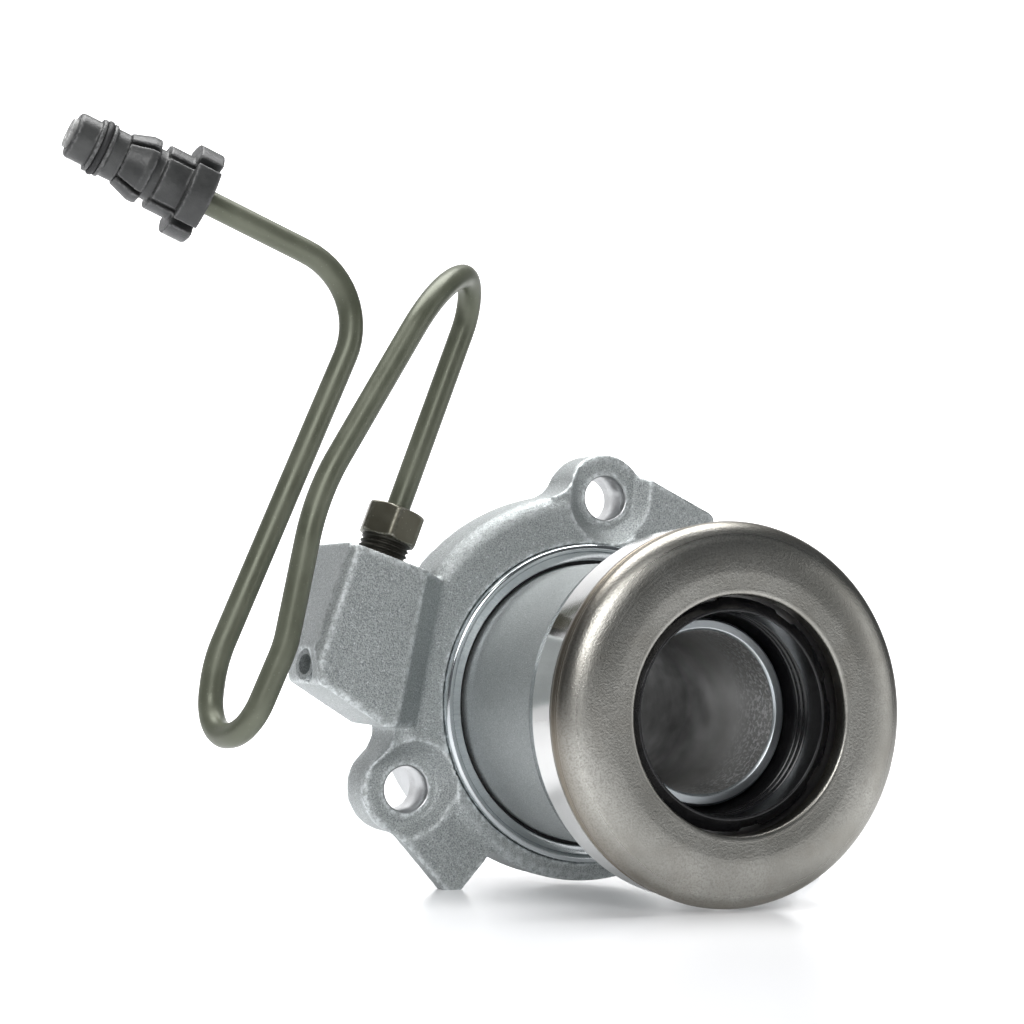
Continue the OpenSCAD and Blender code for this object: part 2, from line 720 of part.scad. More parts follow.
// Cup seal with two lips facing the pressure
module piston_seal() {
    inner_r = tube_r + seal_clear;
    outer_r = chamber_r - seal_clear;
    lip_t = 2.2;
    lip_flare = 1;
    groove = seal_len - seal_web;
    color("#1b1c1e") stand() rotate_extrude() difference() {
        ring_section(inner_r, outer_r, seal_rear_h, piston_rear_h);
        polygon([[inner_r + lip_t, seal_rear_h - over], [outer_r - lip_t, seal_rear_h - over],
            [outer_r - lip_t - lip_flare, seal_rear_h + groove],
            [inner_r + lip_t + lip_flare, seal_rear_h + groove]]);
    }
}

module seal_carrier() {
    inner_r = tube_r + free_gap;
    outer_r = chamber_r - free_gap;
    rib_set_in = 3;
    rib_h = 2;
    rib_draft = 0.6;
    sunk = 0.1;
    rib_in = inner_r + rib_set_in;
    rib_out = outer_r - rib_set_in;
    color("#6d6a58") stand() rotate_extrude() {
        ring_section(inner_r, outer_r, carrier_rear_h, seal_rear_h);
        polygon([[rib_in, seal_rear_h - sunk], [rib_out, seal_rear_h - sunk],
            [rib_out - rib_draft, seal_rear_h + rib_h], [rib_in + rib_draft, seal_rear_h + rib_h]]);
    }
}

// Conical coil whose turns nest when the piston is pushed in
function spring_point(t, base_r, top_r, base_h, top_h, turns) =
    let (r = base_r + (top_r - base_r) * t)
    [r * cos(360 * turns * t), r * sin(360 * turns * t), base_h + (top_h - base_h) * t];

module preload_spring() {
    turns = 4;
    steps = 80;
    facets = 8;
    wire_r = spring_wire_d / 2;
    base_r = chamber_r - wire_r - free_gap;
    top_r = tube_r + wire_r + free_gap;
    base_h = chamber_floor + wire_r;
    top_h = carrier_rear_h - wire_r;
    stations = [for (i = [0 : steps])
        let (t = i / steps, turned = 360 * turns * t)
        [spring_point(t, base_r, top_r, base_h, top_h, turns), [-sin(turned), cos(turned), 0], wire_r]];
    color("#9a9c9e") stand() swept_bar(stations, facets, 0);
}

// Polished stationary ring with the inner race on its hub
module bearing_rear_ring() {
    rear = piston_front_h;
    web_front = rear + rear_web_t;
    color("#c3c3c1") stand() rotate_extrude() difference() {
        union() {
            polygon([
                [hub_bore_r, rear], [rear_ring_r - rear_taper_drop, rear],
                [rear_ring_r, rear + rear_taper_len],
                [rear_ring_r, rear_ring_front], [rear_rim_in, rear_ring_front], [rear_rim_in, web_front],
                [hub_bore_r, web_front]
            ]);
            ring_section(hub_bore_r, hub_r, rear, ball_h - race_edge);
            ring_section(hub_bore_r, hub_r - hub_step, rear, hub_front);
        }
        translate([ball_circle_r, ball_h]) circle(race_r);
    }
}

// Rubber ring behind the balls
module bearing_seal() {
    base = piston_front_h + rear_web_t;
    outer_r = rear_rim_in - seat_gap;
    foot_w = 2.4;
    foot_t = 1.4;
    wall_w = 1.2;
    wall_h = 3.4;
    color("#24262a") stand() rotate_extrude() {
        ring_section(outer_r - foot_w, outer_r, base, base + foot_t);
        ring_section(outer_r - wall_w, outer_r, base, base + wall_h);
    }
}

// Black plastic sleeve that centres the bearing, with a notched front flange and ridges in its bore
module centring_sleeve() {
    base = piston_front_h - sleeve_seat_depth;
    cone = 1.4;
    notch_count = 8;
    notch_depth = 0.5;
    notch_w = 4.4;
    notch_turn = 10;
    lead_in = 0.5;
    ridge_pitch = 1.6;
    ridge_count = 3;
    ridge_r = 0.5;
    ridge_h = hub_front - hub_step;
    color("#151617") stand() difference() {
        rotate_extrude() difference() {
            union() {
                ring_section(sleeve_bore_r, sleeve_r, base, flange_front - cone);
                polygon([[sleeve_bore_r, flange_rear], [flange_r, flange_rear],
                    [flange_r, flange_front - cone],
                    [sleeve_bore_r + lead_in, flange_front], [sleeve_bore_r, flange_front]]);
            }
            for (i = [0 : ridge_count - 1])
                translate([sleeve_bore_r, ridge_h - i * ridge_pitch]) circle(ridge_r);
        }
        for (i = [0 : notch_count - 1]) rotate(i * 360 / notch_count + notch_turn)
            translate([flange_r - notch_depth, -notch_w / 2, flange_rear - over])
                cube([flange_r, notch_w, flange_front]);
    }
}

// Thin spring washer between the bearing hub and the sleeve flange
module wave_washer() {
    base = hub_front + free_gap / 2;
    color("#a4a6a8") stand() rotate_extrude()
        ring_section(hub_bore_r + hub_bore_gap, hub_r - hub_step - hub_bore_gap, base, base + washer_t);
}

module bearing_balls() {
    color("#d9dadb") stand() for (i = [0 : ball_count - 1]) rotate(i * 360 / ball_count)
        translate([ball_circle_r, 0, ball_h]) sphere(ball_r);
}

module ball_cage() {
    half_t = 0.85;
    bridge = 0.9;
    reach = ball_r + bridge;
    color("#8a7a4a") stand() difference() {
        rotate_extrude()
            ring_section(ball_circle_r - half_t, ball_circle_r + half_t, ball_h - reach, ball_h + reach);
        for (i = [0 : ball_count - 1]) rotate(i * 360 / ball_count)
            translate([ball_circle_r - 2 * half_t, 0, ball_h]) rotate([0, 90, 0])
                cylinder(r = race_r, h = 4 * half_t);
    }
}

// Pressed rotating shell: skirt with a rolled groove, big rounded shoulder, dished face and inner lip
module bearing_shell() {
    skirt_gap = 1.3;
    skirt_in = ball_circle_r + skirt_gap;
    cavity_front = shell_front - shell_skin;
    groove_up = 2.2;
    groove_h = shell_rear + groove_up;
    roll_r = 0.5;
    dish_ramp = 1.5;
    lip_len = 3.4;
    lip_t = 1.3;
    lip_round = 0.6;
    skirt_drop = 0.4;
    dish_in = shell_lip_r + lip_t;
    dish_out = shell_r - shell_round;
    color("#8f867c") stand() rotate_extrude() difference() {
        union() {
            difference() {
                union() {
                    ring_section(shell_lip_r, dish_out, shell_rear, shell_front);
                    intersection() {
                        translate([dish_out, shell_front - shell_round]) circle(shell_round);
                        ring_section(dish_out - over, shell_r, shell_front - shell_round, shell_front);
                    }
                    polygon([[skirt_in, shell_rear], [shell_r - skirt_drop, shell_rear],
                        [shell_r, shell_front - shell_round], [skirt_in, shell_front - shell_round]]);
                }
                ring_section(0, skirt_in, shell_rear - over, cavity_front);
                translate([ball_circle_r, ball_h]) circle(race_r);
                translate([shell_r, groove_h]) circle(roll_r);
            }
            ring_section(shell_lip_r, shell_lip_r + lip_t, shell_front - lip_len, shell_front - lip_round);
        }
        polygon([[dish_in, shell_front + over], [dish_in, shell_front - dish_depth / 2],
            [dish_in + dish_ramp, shell_front - dish_depth], [dish_out, shell_front],
            [dish_out, shell_front + over]]);
    }
}

housing();
pressure_cup();
guide_tube();
mouth_ring();
wiper_seal();
pilot_seal();
passage_plug();
tube_nut();
feed_pipe();
connector_spigot();
connector_seal();
nose_insert();
lock_cage();
piston();
piston_seal();
seal_carrier();
preload_spring();
bearing_rear_ring();
bearing_seal();
centring_sleeve();
wave_washer();
bearing_balls();
ball_cage();
bearing_shell();
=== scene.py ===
import bpy
import bmesh
import math
import numpy as np
from mathutils import Matrix, Vector


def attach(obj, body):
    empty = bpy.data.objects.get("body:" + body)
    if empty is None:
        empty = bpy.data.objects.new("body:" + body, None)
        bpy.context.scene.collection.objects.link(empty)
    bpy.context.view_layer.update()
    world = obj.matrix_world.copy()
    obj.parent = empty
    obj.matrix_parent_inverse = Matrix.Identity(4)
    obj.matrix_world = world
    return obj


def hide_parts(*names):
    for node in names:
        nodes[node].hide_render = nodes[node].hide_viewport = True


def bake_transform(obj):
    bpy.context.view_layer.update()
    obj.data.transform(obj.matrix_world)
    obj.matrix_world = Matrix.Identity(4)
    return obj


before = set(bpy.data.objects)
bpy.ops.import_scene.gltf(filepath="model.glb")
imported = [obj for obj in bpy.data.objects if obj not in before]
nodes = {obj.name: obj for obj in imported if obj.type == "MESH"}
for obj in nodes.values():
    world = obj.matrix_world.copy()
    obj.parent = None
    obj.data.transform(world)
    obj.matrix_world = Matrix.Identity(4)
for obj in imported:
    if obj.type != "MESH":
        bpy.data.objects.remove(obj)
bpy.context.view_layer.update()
scene = bpy.context.scene
mm = 0.001
print("frame loaded:", len(nodes), "nodes")


# camera, floor and light

cameraSettings = {
    "place": (-0.1987, -0.4248, 0.0216),
    "forward": (0.4043, 0.9138, 0.0378),
    "up": (0.0, -0.0413, 0.9991),
    "lens": 79.1,
    "sensor": 36,
    "near": 0.01,
    "far": 50,
}


def makeCamera(s):
    data = bpy.data.cameras.new("photoCamera")
    data.lens = s["lens"]
    data.sensor_width = s["sensor"]
    data.clip_start = s["near"]
    data.clip_end = s["far"]
    camera = bpy.data.objects.new("photoCamera", data)
    scene.collection.objects.link(camera)
    forward = Vector(s["forward"]).normalized()
    right = forward.cross(Vector(s["up"])).normalized()
    up = right.cross(forward)
    turn = Matrix((right, up, -forward)).transposed().to_4x4()
    camera.matrix_world = Matrix.Translation(s["place"]) @ turn
    scene.camera = camera


makeCamera(cameraSettings)
scene.view_settings.view_transform = "Standard"

floorSettings = {
    "normal": (0.0319, 0.0308, 0.999),   # the part stands on two feet and the bearing rim, so it leans a little
    "drop": -0.0371,
    "half": 1.6,
    "front": -1.4,
    "wallAt": 1.1,
    "bendRadius": 0.5,
    "bendSteps": 16,
    "wallHeight": 2.2,
}


def makeFloor(s):
    normal = Vector(s["normal"]).normalized()
    side = Vector((1, 0, 0))
    side = (side - side.dot(normal) * normal).normalized()
    back = normal.cross(side)
    base = normal * s["drop"]
    bendAt = s["wallAt"] - s["bendRadius"]
    line = [(s["front"], 0.0), (bendAt, 0.0)]
    for i in range(1, s["bendSteps"] + 1):
        a = math.pi / 2 * i / s["bendSteps"]
        line.append((bendAt + s["bendRadius"] * math.sin(a), s["bendRadius"] * (1 - math.cos(a))))
    line.append((s["wallAt"], s["wallHeight"]))
    mesh = bpy.data.meshes.new("paleFloor")
    made = bmesh.new()
    rows = []
    for away, high in line:
        ends = [base + side * x + back * away + normal * high for x in (-s["half"], s["half"])]
        rows.append([made.verts.new(end) for end in ends])
    for a, b in zip(rows, rows[1:]):
        face = made.faces.new((a[0], a[1], b[1], b[0]))
        face.smooth = True
        face.material_index = 0 if a is rows[0] else 1   # gloss on the flat, wall from the bend up
    made.to_mesh(mesh)
    made.free()
    floor = bpy.data.objects.new("paleFloor", mesh)
    scene.collection.objects.link(floor)
    return floor


floor = makeFloor(floorSettings)

lightSettings = [
    {"name": "keyBox", "place": (-0.45, -0.95, 0.6), "aim": (0, -0.03, 0.01), "size": (0.6, 0.6), "power": 6.0},
    {"name": "topBox", "place": (0.0, 0.14, 0.95), "aim": (0, 0.0, 0), "size": (1.0, 0.7), "power": 13.8},
    {"name": "rightBox", "place": (0.9, -0.55, 0.1), "aim": (0, -0.03, 0), "size": (0.5, 0.5), "power": 0.9},
]


def makeLight(s):
    data = bpy.data.lights.new(s["name"], "AREA")
    data.shape = "RECTANGLE"
    data.size, data.size_y = s["size"]
    data.energy = s["power"]
    light = bpy.data.objects.new(s["name"], data)
    light.visible_camera = False   # the boxes show in reflections only
    scene.collection.objects.link(light)
    light.location = s["place"]
    away = Vector(s["aim"]) - Vector(s["place"])
    light.rotation_euler = away.to_track_quat("-Z", "Y").to_euler()


for s in lightSettings:
    makeLight(s)

worldSettings = {"tint": (0.9, 0.95, 1.0, 1.0), "strength": 0.1}


def makeWorld(s):
    world = bpy.data.worlds.new("studioRoom")
    scene.world = world
    world.use_nodes = True
    background = world.node_tree.nodes["Background"]
    background.inputs["Color"].default_value = s["tint"]
    background.inputs["Strength"].default_value = s["strength"]


makeWorld(worldSettings)
print("camera, floor and lights placed")


# helpers for node trees

def put(tree, kind, inputs=None, **settings):
    node = tree.nodes.new(kind)
    for key, value in settings.items():
        setattr(node, key, value)
    for key, value in (inputs or {}).items():
        node.inputs[key].default_value = value
    return node


def newGroup(name, ins, outs):
    tree = bpy.data.node_groups.new(name, "ShaderNodeTree")
    for label, kind, value in ins:
        socket = tree.interface.new_socket(label, in_out="INPUT", socket_type=kind)
        socket.default_value = value
    for label, kind in outs:
        tree.interface.new_socket(label, in_out="OUTPUT", socket_type=kind)
    return tree, tree.nodes.new("NodeGroupInput"), tree.nodes.new("NodeGroupOutput")


def useGroup(tree, group, values):
    node = tree.nodes.new("ShaderNodeGroup")
    node.node_tree = group
    for key, value in values.items():
        node.inputs[key].default_value = value
    return node


def colour(r, g, b):
    return (r, g, b, 1.0)


def objectPlace(tree):
    return put(tree, "ShaderNodeTexCoord").outputs["Object"]


def splitPlace(tree, place):
    parts = put(tree, "ShaderNodeSeparateXYZ")
    tree.links.new(place, parts.inputs[0])
    return parts


def inverse(tree, value):
    node = put(tree, "ShaderNodeMath", {0: 1.0}, operation="DIVIDE")
    tree.links.new(value, node.inputs[1])
    return node.outputs[0]


def multiply(tree, a, b):
    node = put(tree, "ShaderNodeMath", operation="MULTIPLY")
    tree.links.new(a, node.inputs[0])
    tree.links.new(b, node.inputs[1])
    return node.outputs[0]


def spread(tree, value, low, high, fromLow=0.0, fromHigh=1.0):
    node = put(tree, "ShaderNodeMapRange", {"From Min": fromLow, "From Max": fromHigh, "To Min": low, "To Max": high})
    tree.links.new(value, node.inputs["Value"])
    return node.outputs["Result"]


noiseLow, noiseHigh = 0.3, 0.7   # nearly all of a noise texture's values lie between these


def spreadNoise(tree, value, low=0.0, high=1.0):
    return spread(tree, value, low, high, noiseLow, noiseHigh)


def mixColour(tree, factor, a, b):
    node = put(tree, "ShaderNodeMix", data_type="RGBA")   # its colour sockets are 6 and 7 in, 2 out
    tree.links.new(factor, node.inputs[0])
    for socket, value in ((node.inputs[6], a), (node.inputs[7], b)):
        if isinstance(value, tuple):
            socket.default_value = value
        else:
            tree.links.new(value, socket)
    return node.outputs[2]


def bump(tree, height, strength, distance):
    node = put(tree, "ShaderNodeBump", {"Strength": strength, "Distance": distance})
    tree.links.new(height, node.inputs["Height"])
    return node.outputs["Normal"]


def newMaterial(name, base, metallic, roughness, more=None):
    material = bpy.data.materials.new(name)
    material.use_nodes = True
    tree = material.node_tree
    shader = tree.nodes["Principled BSDF"]
    shader.inputs["Base Color"].default_value = base   # plain values stay for viewers that skip the links
    shader.inputs["Metallic"].default_value = metallic
    shader.inputs["Roughness"].default_value = roughness
    for key, value in (more or {}).items():
        shader.inputs[key].default_value = value
    return material, tree, shader


def drive(tree, shader, tone, rough, normal):
    for key, value in (("Base Color", tone), ("Roughness", rough), ("Normal", normal)):
        tree.links.new(value, shader.inputs[key])


# shared effects: blasted grain, turned rings, specks, worn edges

def makeGrainGroup():
    tree, ins, outs = newGroup(
        "blastedGrain",
        [("Grain Size", "NodeSocketFloat", 0.0004), ("Patch Size", "NodeSocketFloat", 0.01)],
        [("Grain", "NodeSocketFloat"), ("Patch", "NodeSocketFloat"), ("Glint", "NodeSocketFloat")],
    )
    place = objectPlace(tree)
    for label, size in (("Grain", "Grain Size"), ("Patch", "Patch Size")):
        noise = put(tree, "ShaderNodeTexNoise", {"Detail": 2.0, "Roughness": 0.6})
        tree.links.new(place, noise.inputs["Vector"])
        tree.links.new(inverse(tree, ins.outputs[size]), noise.inputs["Scale"])
        tree.links.new(noise.outputs["Fac"], outs.inputs[label])
    cells = put(tree, "ShaderNodeTexVoronoi")
    tree.links.new(place, cells.inputs["Vector"])
    tree.links.new(inverse(tree, ins.outputs["Grain Size"]), cells.inputs["Scale"])
    parts = put(tree, "ShaderNodeSeparateColor")
    tree.links.new(cells.outputs["Color"], parts.inputs["Color"])
    tree.links.new(parts.outputs["Red"], outs.inputs["Glint"])
    return tree


def makeTurnedGroup():
    tree, ins, outs = newGroup(
        "turnedRings",
        [("Ring Size", "NodeSocketFloat", 0.0002)],
        [("Rings", "NodeSocketFloat"), ("Streak", "NodeSocketFloat")],
    )
    place = objectPlace(tree)
    parts = splitPlace(tree, place)
    flat = put(tree, "ShaderNodeCombineXYZ")
    tree.links.new(parts.outputs["X"], flat.inputs["X"])
    tree.links.new(parts.outputs["Z"], flat.inputs["Z"])
    radius = put(tree, "ShaderNodeVectorMath", operation="LENGTH")
    tree.links.new(flat.outputs[0], radius.inputs[0])
    section = put(tree, "ShaderNodeCombineXYZ")
    tree.links.new(radius.outputs["Value"], section.inputs["X"])
    tree.links.new(parts.outputs["Y"], section.inputs["Y"])
    rings = put(tree, "ShaderNodeTexNoise", {"Detail": 3.0, "Roughness": 0.65})
    tree.links.new(section.outputs[0], rings.inputs["Vector"])
    tree.links.new(inverse(tree, ins.outputs["Ring Size"]), rings.inputs["Scale"])
    streak = put(tree, "ShaderNodeTexNoise", {"Scale": 60.0, "Detail": 3.0})
    tree.links.new(place, streak.inputs["Vector"])
    tree.links.new(rings.outputs["Fac"], outs.inputs["Rings"])
    tree.links.new(streak.outputs["Fac"], outs.inputs["Streak"])
    return tree


def makeSpeckGroup():
    tree, ins, outs = newGroup(
        "fineSpecks",
        [("Speck Size", "NodeSocketFloat", 0.001), ("Amount", "NodeSocketFloat", 0.12)],
        [("Specks", "NodeSocketFloat"), ("Cloud", "NodeSocketFloat")],
    )
    place = objectPlace(tree)
    cells = put(tree, "ShaderNodeTexVoronoi")
    tree.links.new(place, cells.inputs["Vector"])
    tree.links.new(inverse(tree, ins.outputs["Speck Size"]), cells.inputs["Scale"])
    dots = put(tree, "ShaderNodeMapRange", {"From Min": 0.0, "To Min": 1.0, "To Max": 0.0})
    tree.links.new(cells.outputs["Distance"], dots.inputs["Value"])
    tree.links.new(ins.outputs["Amount"], dots.inputs["From Max"])
    cloud = put(tree, "ShaderNodeTexNoise", {"Scale": 140.0, "Detail": 4.0})
    tree.links.new(place, cloud.inputs["Vector"])
    tree.links.new(dots.outputs["Result"], outs.inputs["Specks"])
    tree.links.new(cloud.outputs["Fac"], outs.inputs["Cloud"])
    return tree


def makeEdgeGroup():
    tree, ins, outs = newGroup(
        "edgeWear",
        [("Patch Size", "NodeSocketFloat", 0.003), ("Least", "NodeSocketFloat", 0.15)],
        [("Wear", "NodeSocketFloat")],
    )
    edge = put(tree, "ShaderNodeAttribute", attribute_name="edgeMask")
    patch = put(tree, "ShaderNodeTexNoise", {"Detail": 4.0, "Roughness": 0.7})
    tree.links.new(objectPlace(tree), patch.inputs["Vector"])
    tree.links.new(inverse(tree, ins.outputs["Patch Size"]), patch.inputs["Scale"])
    share = put(tree, "ShaderNodeMapRange", {"From Min": 0.43, "From Max": 0.6, "To Max": 1.0})
    tree.links.new(patch.outputs["Fac"], share.inputs["Value"])
    tree.links.new(ins.outputs["Least"], share.inputs["To Min"])
    tree.links.new(multiply(tree, edge.outputs["Fac"], share.outputs["Result"]), outs.inputs["Wear"])
    return tree


edgeGroup = makeEdgeGroup()
grainGroup = makeGrainGroup()
turnedGroup = makeTurnedGroup()
speckGroup = makeSpeckGroup()


# finishes

def wearEdges(tree, tone, bare, patchSize):
    worn = useGroup(tree, edgeGroup, {"Patch Size": patchSize})
    return mixColour(tree, worn.outputs["Wear"], tone, bare)


castLook = {"patchSize": 0.014, "glintFrom": 0.955, "glintMost": 0.6, "wearPatch": 0.0012, "bumpDepth": 0.0002}


def makeCast(name, dark, light, bare, roughLow, roughHigh, grainSize, bumpStrength, metallic):
    look = castLook
    material, tree, shader = newMaterial(name, light, metallic, roughHigh)
    grain = useGroup(tree, grainGroup, {"Grain Size": grainSize, "Patch Size": look["patchSize"]})
    tone = mixColour(tree, spreadNoise(tree, grain.outputs["Grain"]), dark, light)
    # painted glints: the brightest grain cells are lightened towards the bare metal colour
    glint = spread(tree, grain.outputs["Glint"], 0.0, look["glintMost"], look["glintFrom"])
    tone = wearEdges(tree, mixColour(tree, glint, tone, bare), bare, look["wearPatch"])
    rough = spreadNoise(tree, grain.outputs["Patch"], roughLow, roughHigh)
    drive(tree, shader, tone, rough, bump(tree, grain.outputs["Grain"], bumpStrength, look["bumpDepth"]))
    return material


turnedLook = {"bumpDepth": 0.00005}


def makeTurned(name, dark, light, roughLow, roughHigh, ringSize, bumpStrength):
    material, tree, shader = newMaterial(name, light, 1.0, roughLow)
    rings = useGroup(tree, turnedGroup, {"Ring Size": ringSize})
    tone = mixColour(tree, spreadNoise(tree, rings.outputs["Streak"]), dark, light)
    rough = spreadNoise(tree, rings.outputs["Rings"], roughLow, roughHigh)
    drive(tree, shader, tone, rough, bump(tree, rings.outputs["Rings"], bumpStrength, turnedLook["bumpDepth"]))
    return material


pressedLook = {
    "ringSize": 0.0005, "grainSize": 0.00036, "patchSize": 0.006, "bumpStrength": 0.45, "bumpDepth": 0.0001,
    "stainFrom": 0.5, "stainTo": 0.75, "stainMost": 0.25,
    "pitFrom": 0.42, "pitTo": 0.68, "pitMost": 0.9,
    "skirtFrom": -0.0742, "skirtTo": -0.0708, "skirtMost": 0.85,   # browner and darker towards the rolled skirt: partly the shell's own tint, partly painted shade
}


def makePressed(name, dark, light, stainAndShade, roughLow, roughHigh):
    look = pressedLook
    material, tree, shader = newMaterial(name, light, 1.0, roughLow)
    rings = useGroup(tree, turnedGroup, {"Ring Size": look["ringSize"]})
    grain = useGroup(tree, grainGroup, {"Grain Size": look["grainSize"], "Patch Size": look["patchSize"]})
    along = splitPlace(tree, objectPlace(tree)).outputs["Y"]
    stained = spread(tree, grain.outputs["Patch"], 0.0, look["stainMost"], look["stainFrom"], look["stainTo"])
    pitted = spread(tree, grain.outputs["Grain"], 0.0, look["pitMost"], look["pitFrom"], look["pitTo"])
    skirt = spread(tree, along, 0.0, look["skirtMost"], look["skirtFrom"], look["skirtTo"])
    tone = mixColour(tree, spreadNoise(tree, rings.outputs["Streak"]), dark, light)
    tone = mixColour(tree, stained, tone, stainAndShade)
    tone = mixColour(tree, pitted, tone, dark)
    # partly painted shade: the whole skirt is pulled towards the stain colour
    tone = mixColour(tree, skirt, tone, stainAndShade)
    rough = spreadNoise(tree, rings.outputs["Rings"], roughLow, roughHigh)
    drive(tree, shader, tone, rough, bump(tree, grain.outputs["Grain"], look["bumpStrength"], look["bumpDepth"]))
    return material


mouldedLook = {"patchSize": 0.004, "wearPatch": 0.0008, "bumpDepth": 0.0001}


def makeMoulded(name, dark, light, bare, roughLow, roughHigh, grainSize, bumpStrength):
    look = mouldedLook
    material, tree, shader = newMaterial(name, light, 0.0, roughHigh)
    grain = useGroup(tree, grainGroup, {"Grain Size": grainSize, "Patch Size": look["patchSize"]})
    tone = mixColour(tree, spreadNoise(tree, grain.outputs["Patch"]), dark, light)
    tone = wearEdges(tree, tone, bare, look["wearPatch"])
    rough = spreadNoise(tree, grain.outputs["Grain"], roughLow, roughHigh)
    drive(tree, shader, tone, rough, bump(tree, grain.outputs["Grain"], bumpStrength, look["bumpDepth"]))
    return material


coatedLook = {
    "speckSize": 0.0011, "speckAmount": 0.16, "speckMost": 0.4, "wearPatch": 0.0008,
    "smoother": 0.06, "rougher": 0.1, "bumpDepth": 0.0001,
}


def makeCoated(name, dark, light, bare, rough, metallic, bumpStrength):
    look = coatedLook
    material, tree, shader = newMaterial(name, light, metallic, rough)
    specks = useGroup(tree, speckGroup, {"Speck Size": look["speckSize"], "Amount": look["speckAmount"]})
    cloud = specks.outputs["Cloud"]
    tone = mixColour(tree, spreadNoise(tree, cloud), dark, light)
    tone = mixColour(tree, spread(tree, specks.outputs["Specks"], 0.0, look["speckMost"]), tone, bare)
    tone = wearEdges(tree, tone, bare, look["wearPatch"])
    uneven = spreadNoise(tree, cloud, rough - look["smoother"], rough + look["rougher"])
    drive(tree, shader, tone, uneven, bump(tree, cloud, bumpStrength, look["bumpDepth"]))
    return material


boreLook = {
    "metallic": 0.9, "rough": 0.3, "roughLow": 0.4, "roughHigh": 0.56,
    "ringSize": 0.0006, "grainSize": 0.0007, "patchSize": 0.005, "bumpStrength": 0.1, "bumpDepth": 0.00005,
    "paintedShadeFrom": -0.047, "paintedShadeTo": -0.026,   # painted shade, darker into the tube
    "nearFrom": -0.046, "nearTo": -0.056, "markFrom": 0.48, "markTo": 0.62,   # marks near its end, brightened to near white: partly real marks, partly painted highlight
}


def makeBore(name, deep, dark, light, markHighlight):
    look = boreLook
    material, tree, shader = newMaterial(name, light, look["metallic"], look["rough"])
    rings = useGroup(tree, turnedGroup, {"Ring Size": look["ringSize"]})
    grain = useGroup(tree, grainGroup, {"Grain Size": look["grainSize"], "Patch Size": look["patchSize"]})
    along = splitPlace(tree, objectPlace(tree)).outputs["Y"]
    tone = mixColour(tree, spreadNoise(tree, rings.outputs["Streak"]), dark, light)
    # painted shade: the bore turns to the deep colour further into the tube
    tone = mixColour(tree, spread(tree, along, 0.0, 1.0, look["paintedShadeFrom"], look["paintedShadeTo"]), tone, deep)
    near = spread(tree, along, 0.0, 1.0, look["nearFrom"], look["nearTo"])
    highlightMarks = spread(tree, grain.outputs["Grain"], 0.0, 1.0, look["markFrom"], look["markTo"])
    # partly painted highlight: near the tube end the brightest grain turns near white
    tone = mixColour(tree, multiply(tree, near, highlightMarks), tone, markHighlight)
    rough = spreadNoise(tree, grain.outputs["Patch"], look["roughLow"], look["roughHigh"])
    drive(tree, shader, tone, rough, bump(tree, rings.outputs["Rings"], look["bumpStrength"], look["bumpDepth"]))
    return material


castAlloy = makeCast(
    "castAlloy", dark=colour(0.228, 0.246, 0.247), light=colour(0.556, 0.585, 0.585),
    bare=colour(0.77, 0.805, 0.81), roughLow=0.42, roughHigh=0.56, grainSize=0.00028, bumpStrength=0.8, metallic=0.85,
)
barrelSkin = makeCast(
    "barrelSkin", dark=colour(0.318, 0.337, 0.338), light=colour(0.55, 0.578, 0.578),
    bare=colour(0.67, 0.69, 0.69), roughLow=0.44, roughHigh=0.56, grainSize=0.00026, bumpStrength=0.7, metallic=0.85,
)
machinedAlloy = makeTurned(
    "machinedAlloy", dark=colour(0.42, 0.43, 0.435), light=colour(0.56, 0.57, 0.575),
    roughLow=0.26, roughHigh=0.38, ringSize=0.0003, bumpStrength=0.12,
)
platedZinc = makeTurned(
    "platedZinc", dark=colour(0.54, 0.585, 0.61), light=colour(0.72, 0.76, 0.78),
    roughLow=0.24, roughHigh=0.38, ringSize=0.0003, bumpStrength=0.1,
)
# the deep colour is painted shade for the dark far end of the bore
tubeBore = makeBore(
    "tubeBore", deep=colour(0.04, 0.04, 0.038), dark=colour(0.46, 0.46, 0.452),
    light=colour(0.64, 0.64, 0.63), markHighlight=colour(0.95, 0.95, 0.95),
)
brightRing = makeTurned(
    "brightRing", dark=colour(0.58, 0.615, 0.635), light=colour(0.8, 0.83, 0.845),
    roughLow=0.08, roughHigh=0.16, ringSize=0.0003, bumpStrength=0.06,
)
groundSteel = makeTurned(
    "groundSteel", dark=colour(0.62, 0.62, 0.61), light=colour(0.74, 0.74, 0.73),
    roughLow=0.07, roughHigh=0.14, ringSize=0.00025, bumpStrength=0.08,
)
shellSteel = makePressed(
    "shellSteel", dark=colour(0.29, 0.283, 0.258), light=colour(0.5, 0.49, 0.458),
    stainAndShade=colour(0.2, 0.172, 0.135), roughLow=0.26, roughHigh=0.36,
)
springSteel = makeTurned(
    "springSteel", dark=colour(0.3, 0.3, 0.3), light=colour(0.46, 0.46, 0.46),
    roughLow=0.25, roughHigh=0.4, ringSize=0.0004, bumpStrength=0.1,
)
ballSteel = makeTurned(
    "ballSteel", dark=colour(0.7, 0.7, 0.7), light=colour(0.8, 0.8, 0.8),
    roughLow=0.05, roughHigh=0.1, ringSize=0.0004, bumpStrength=0.02,
)
olivePipe = makeCoated(
    "olivePipe", dark=colour(0.115, 0.124, 0.088), light=colour(0.155, 0.165, 0.122),
    bare=colour(0.32, 0.33, 0.27), rough=0.36, metallic=0.35, bumpStrength=0.12,
)
darkNut = makeCoated(
    "darkNut", dark=colour(0.092, 0.087, 0.063), light=colour(0.15, 0.143, 0.11),
    bare=colour(0.5, 0.49, 0.43), rough=0.34, metallic=0.7, bumpStrength=0.15,
)
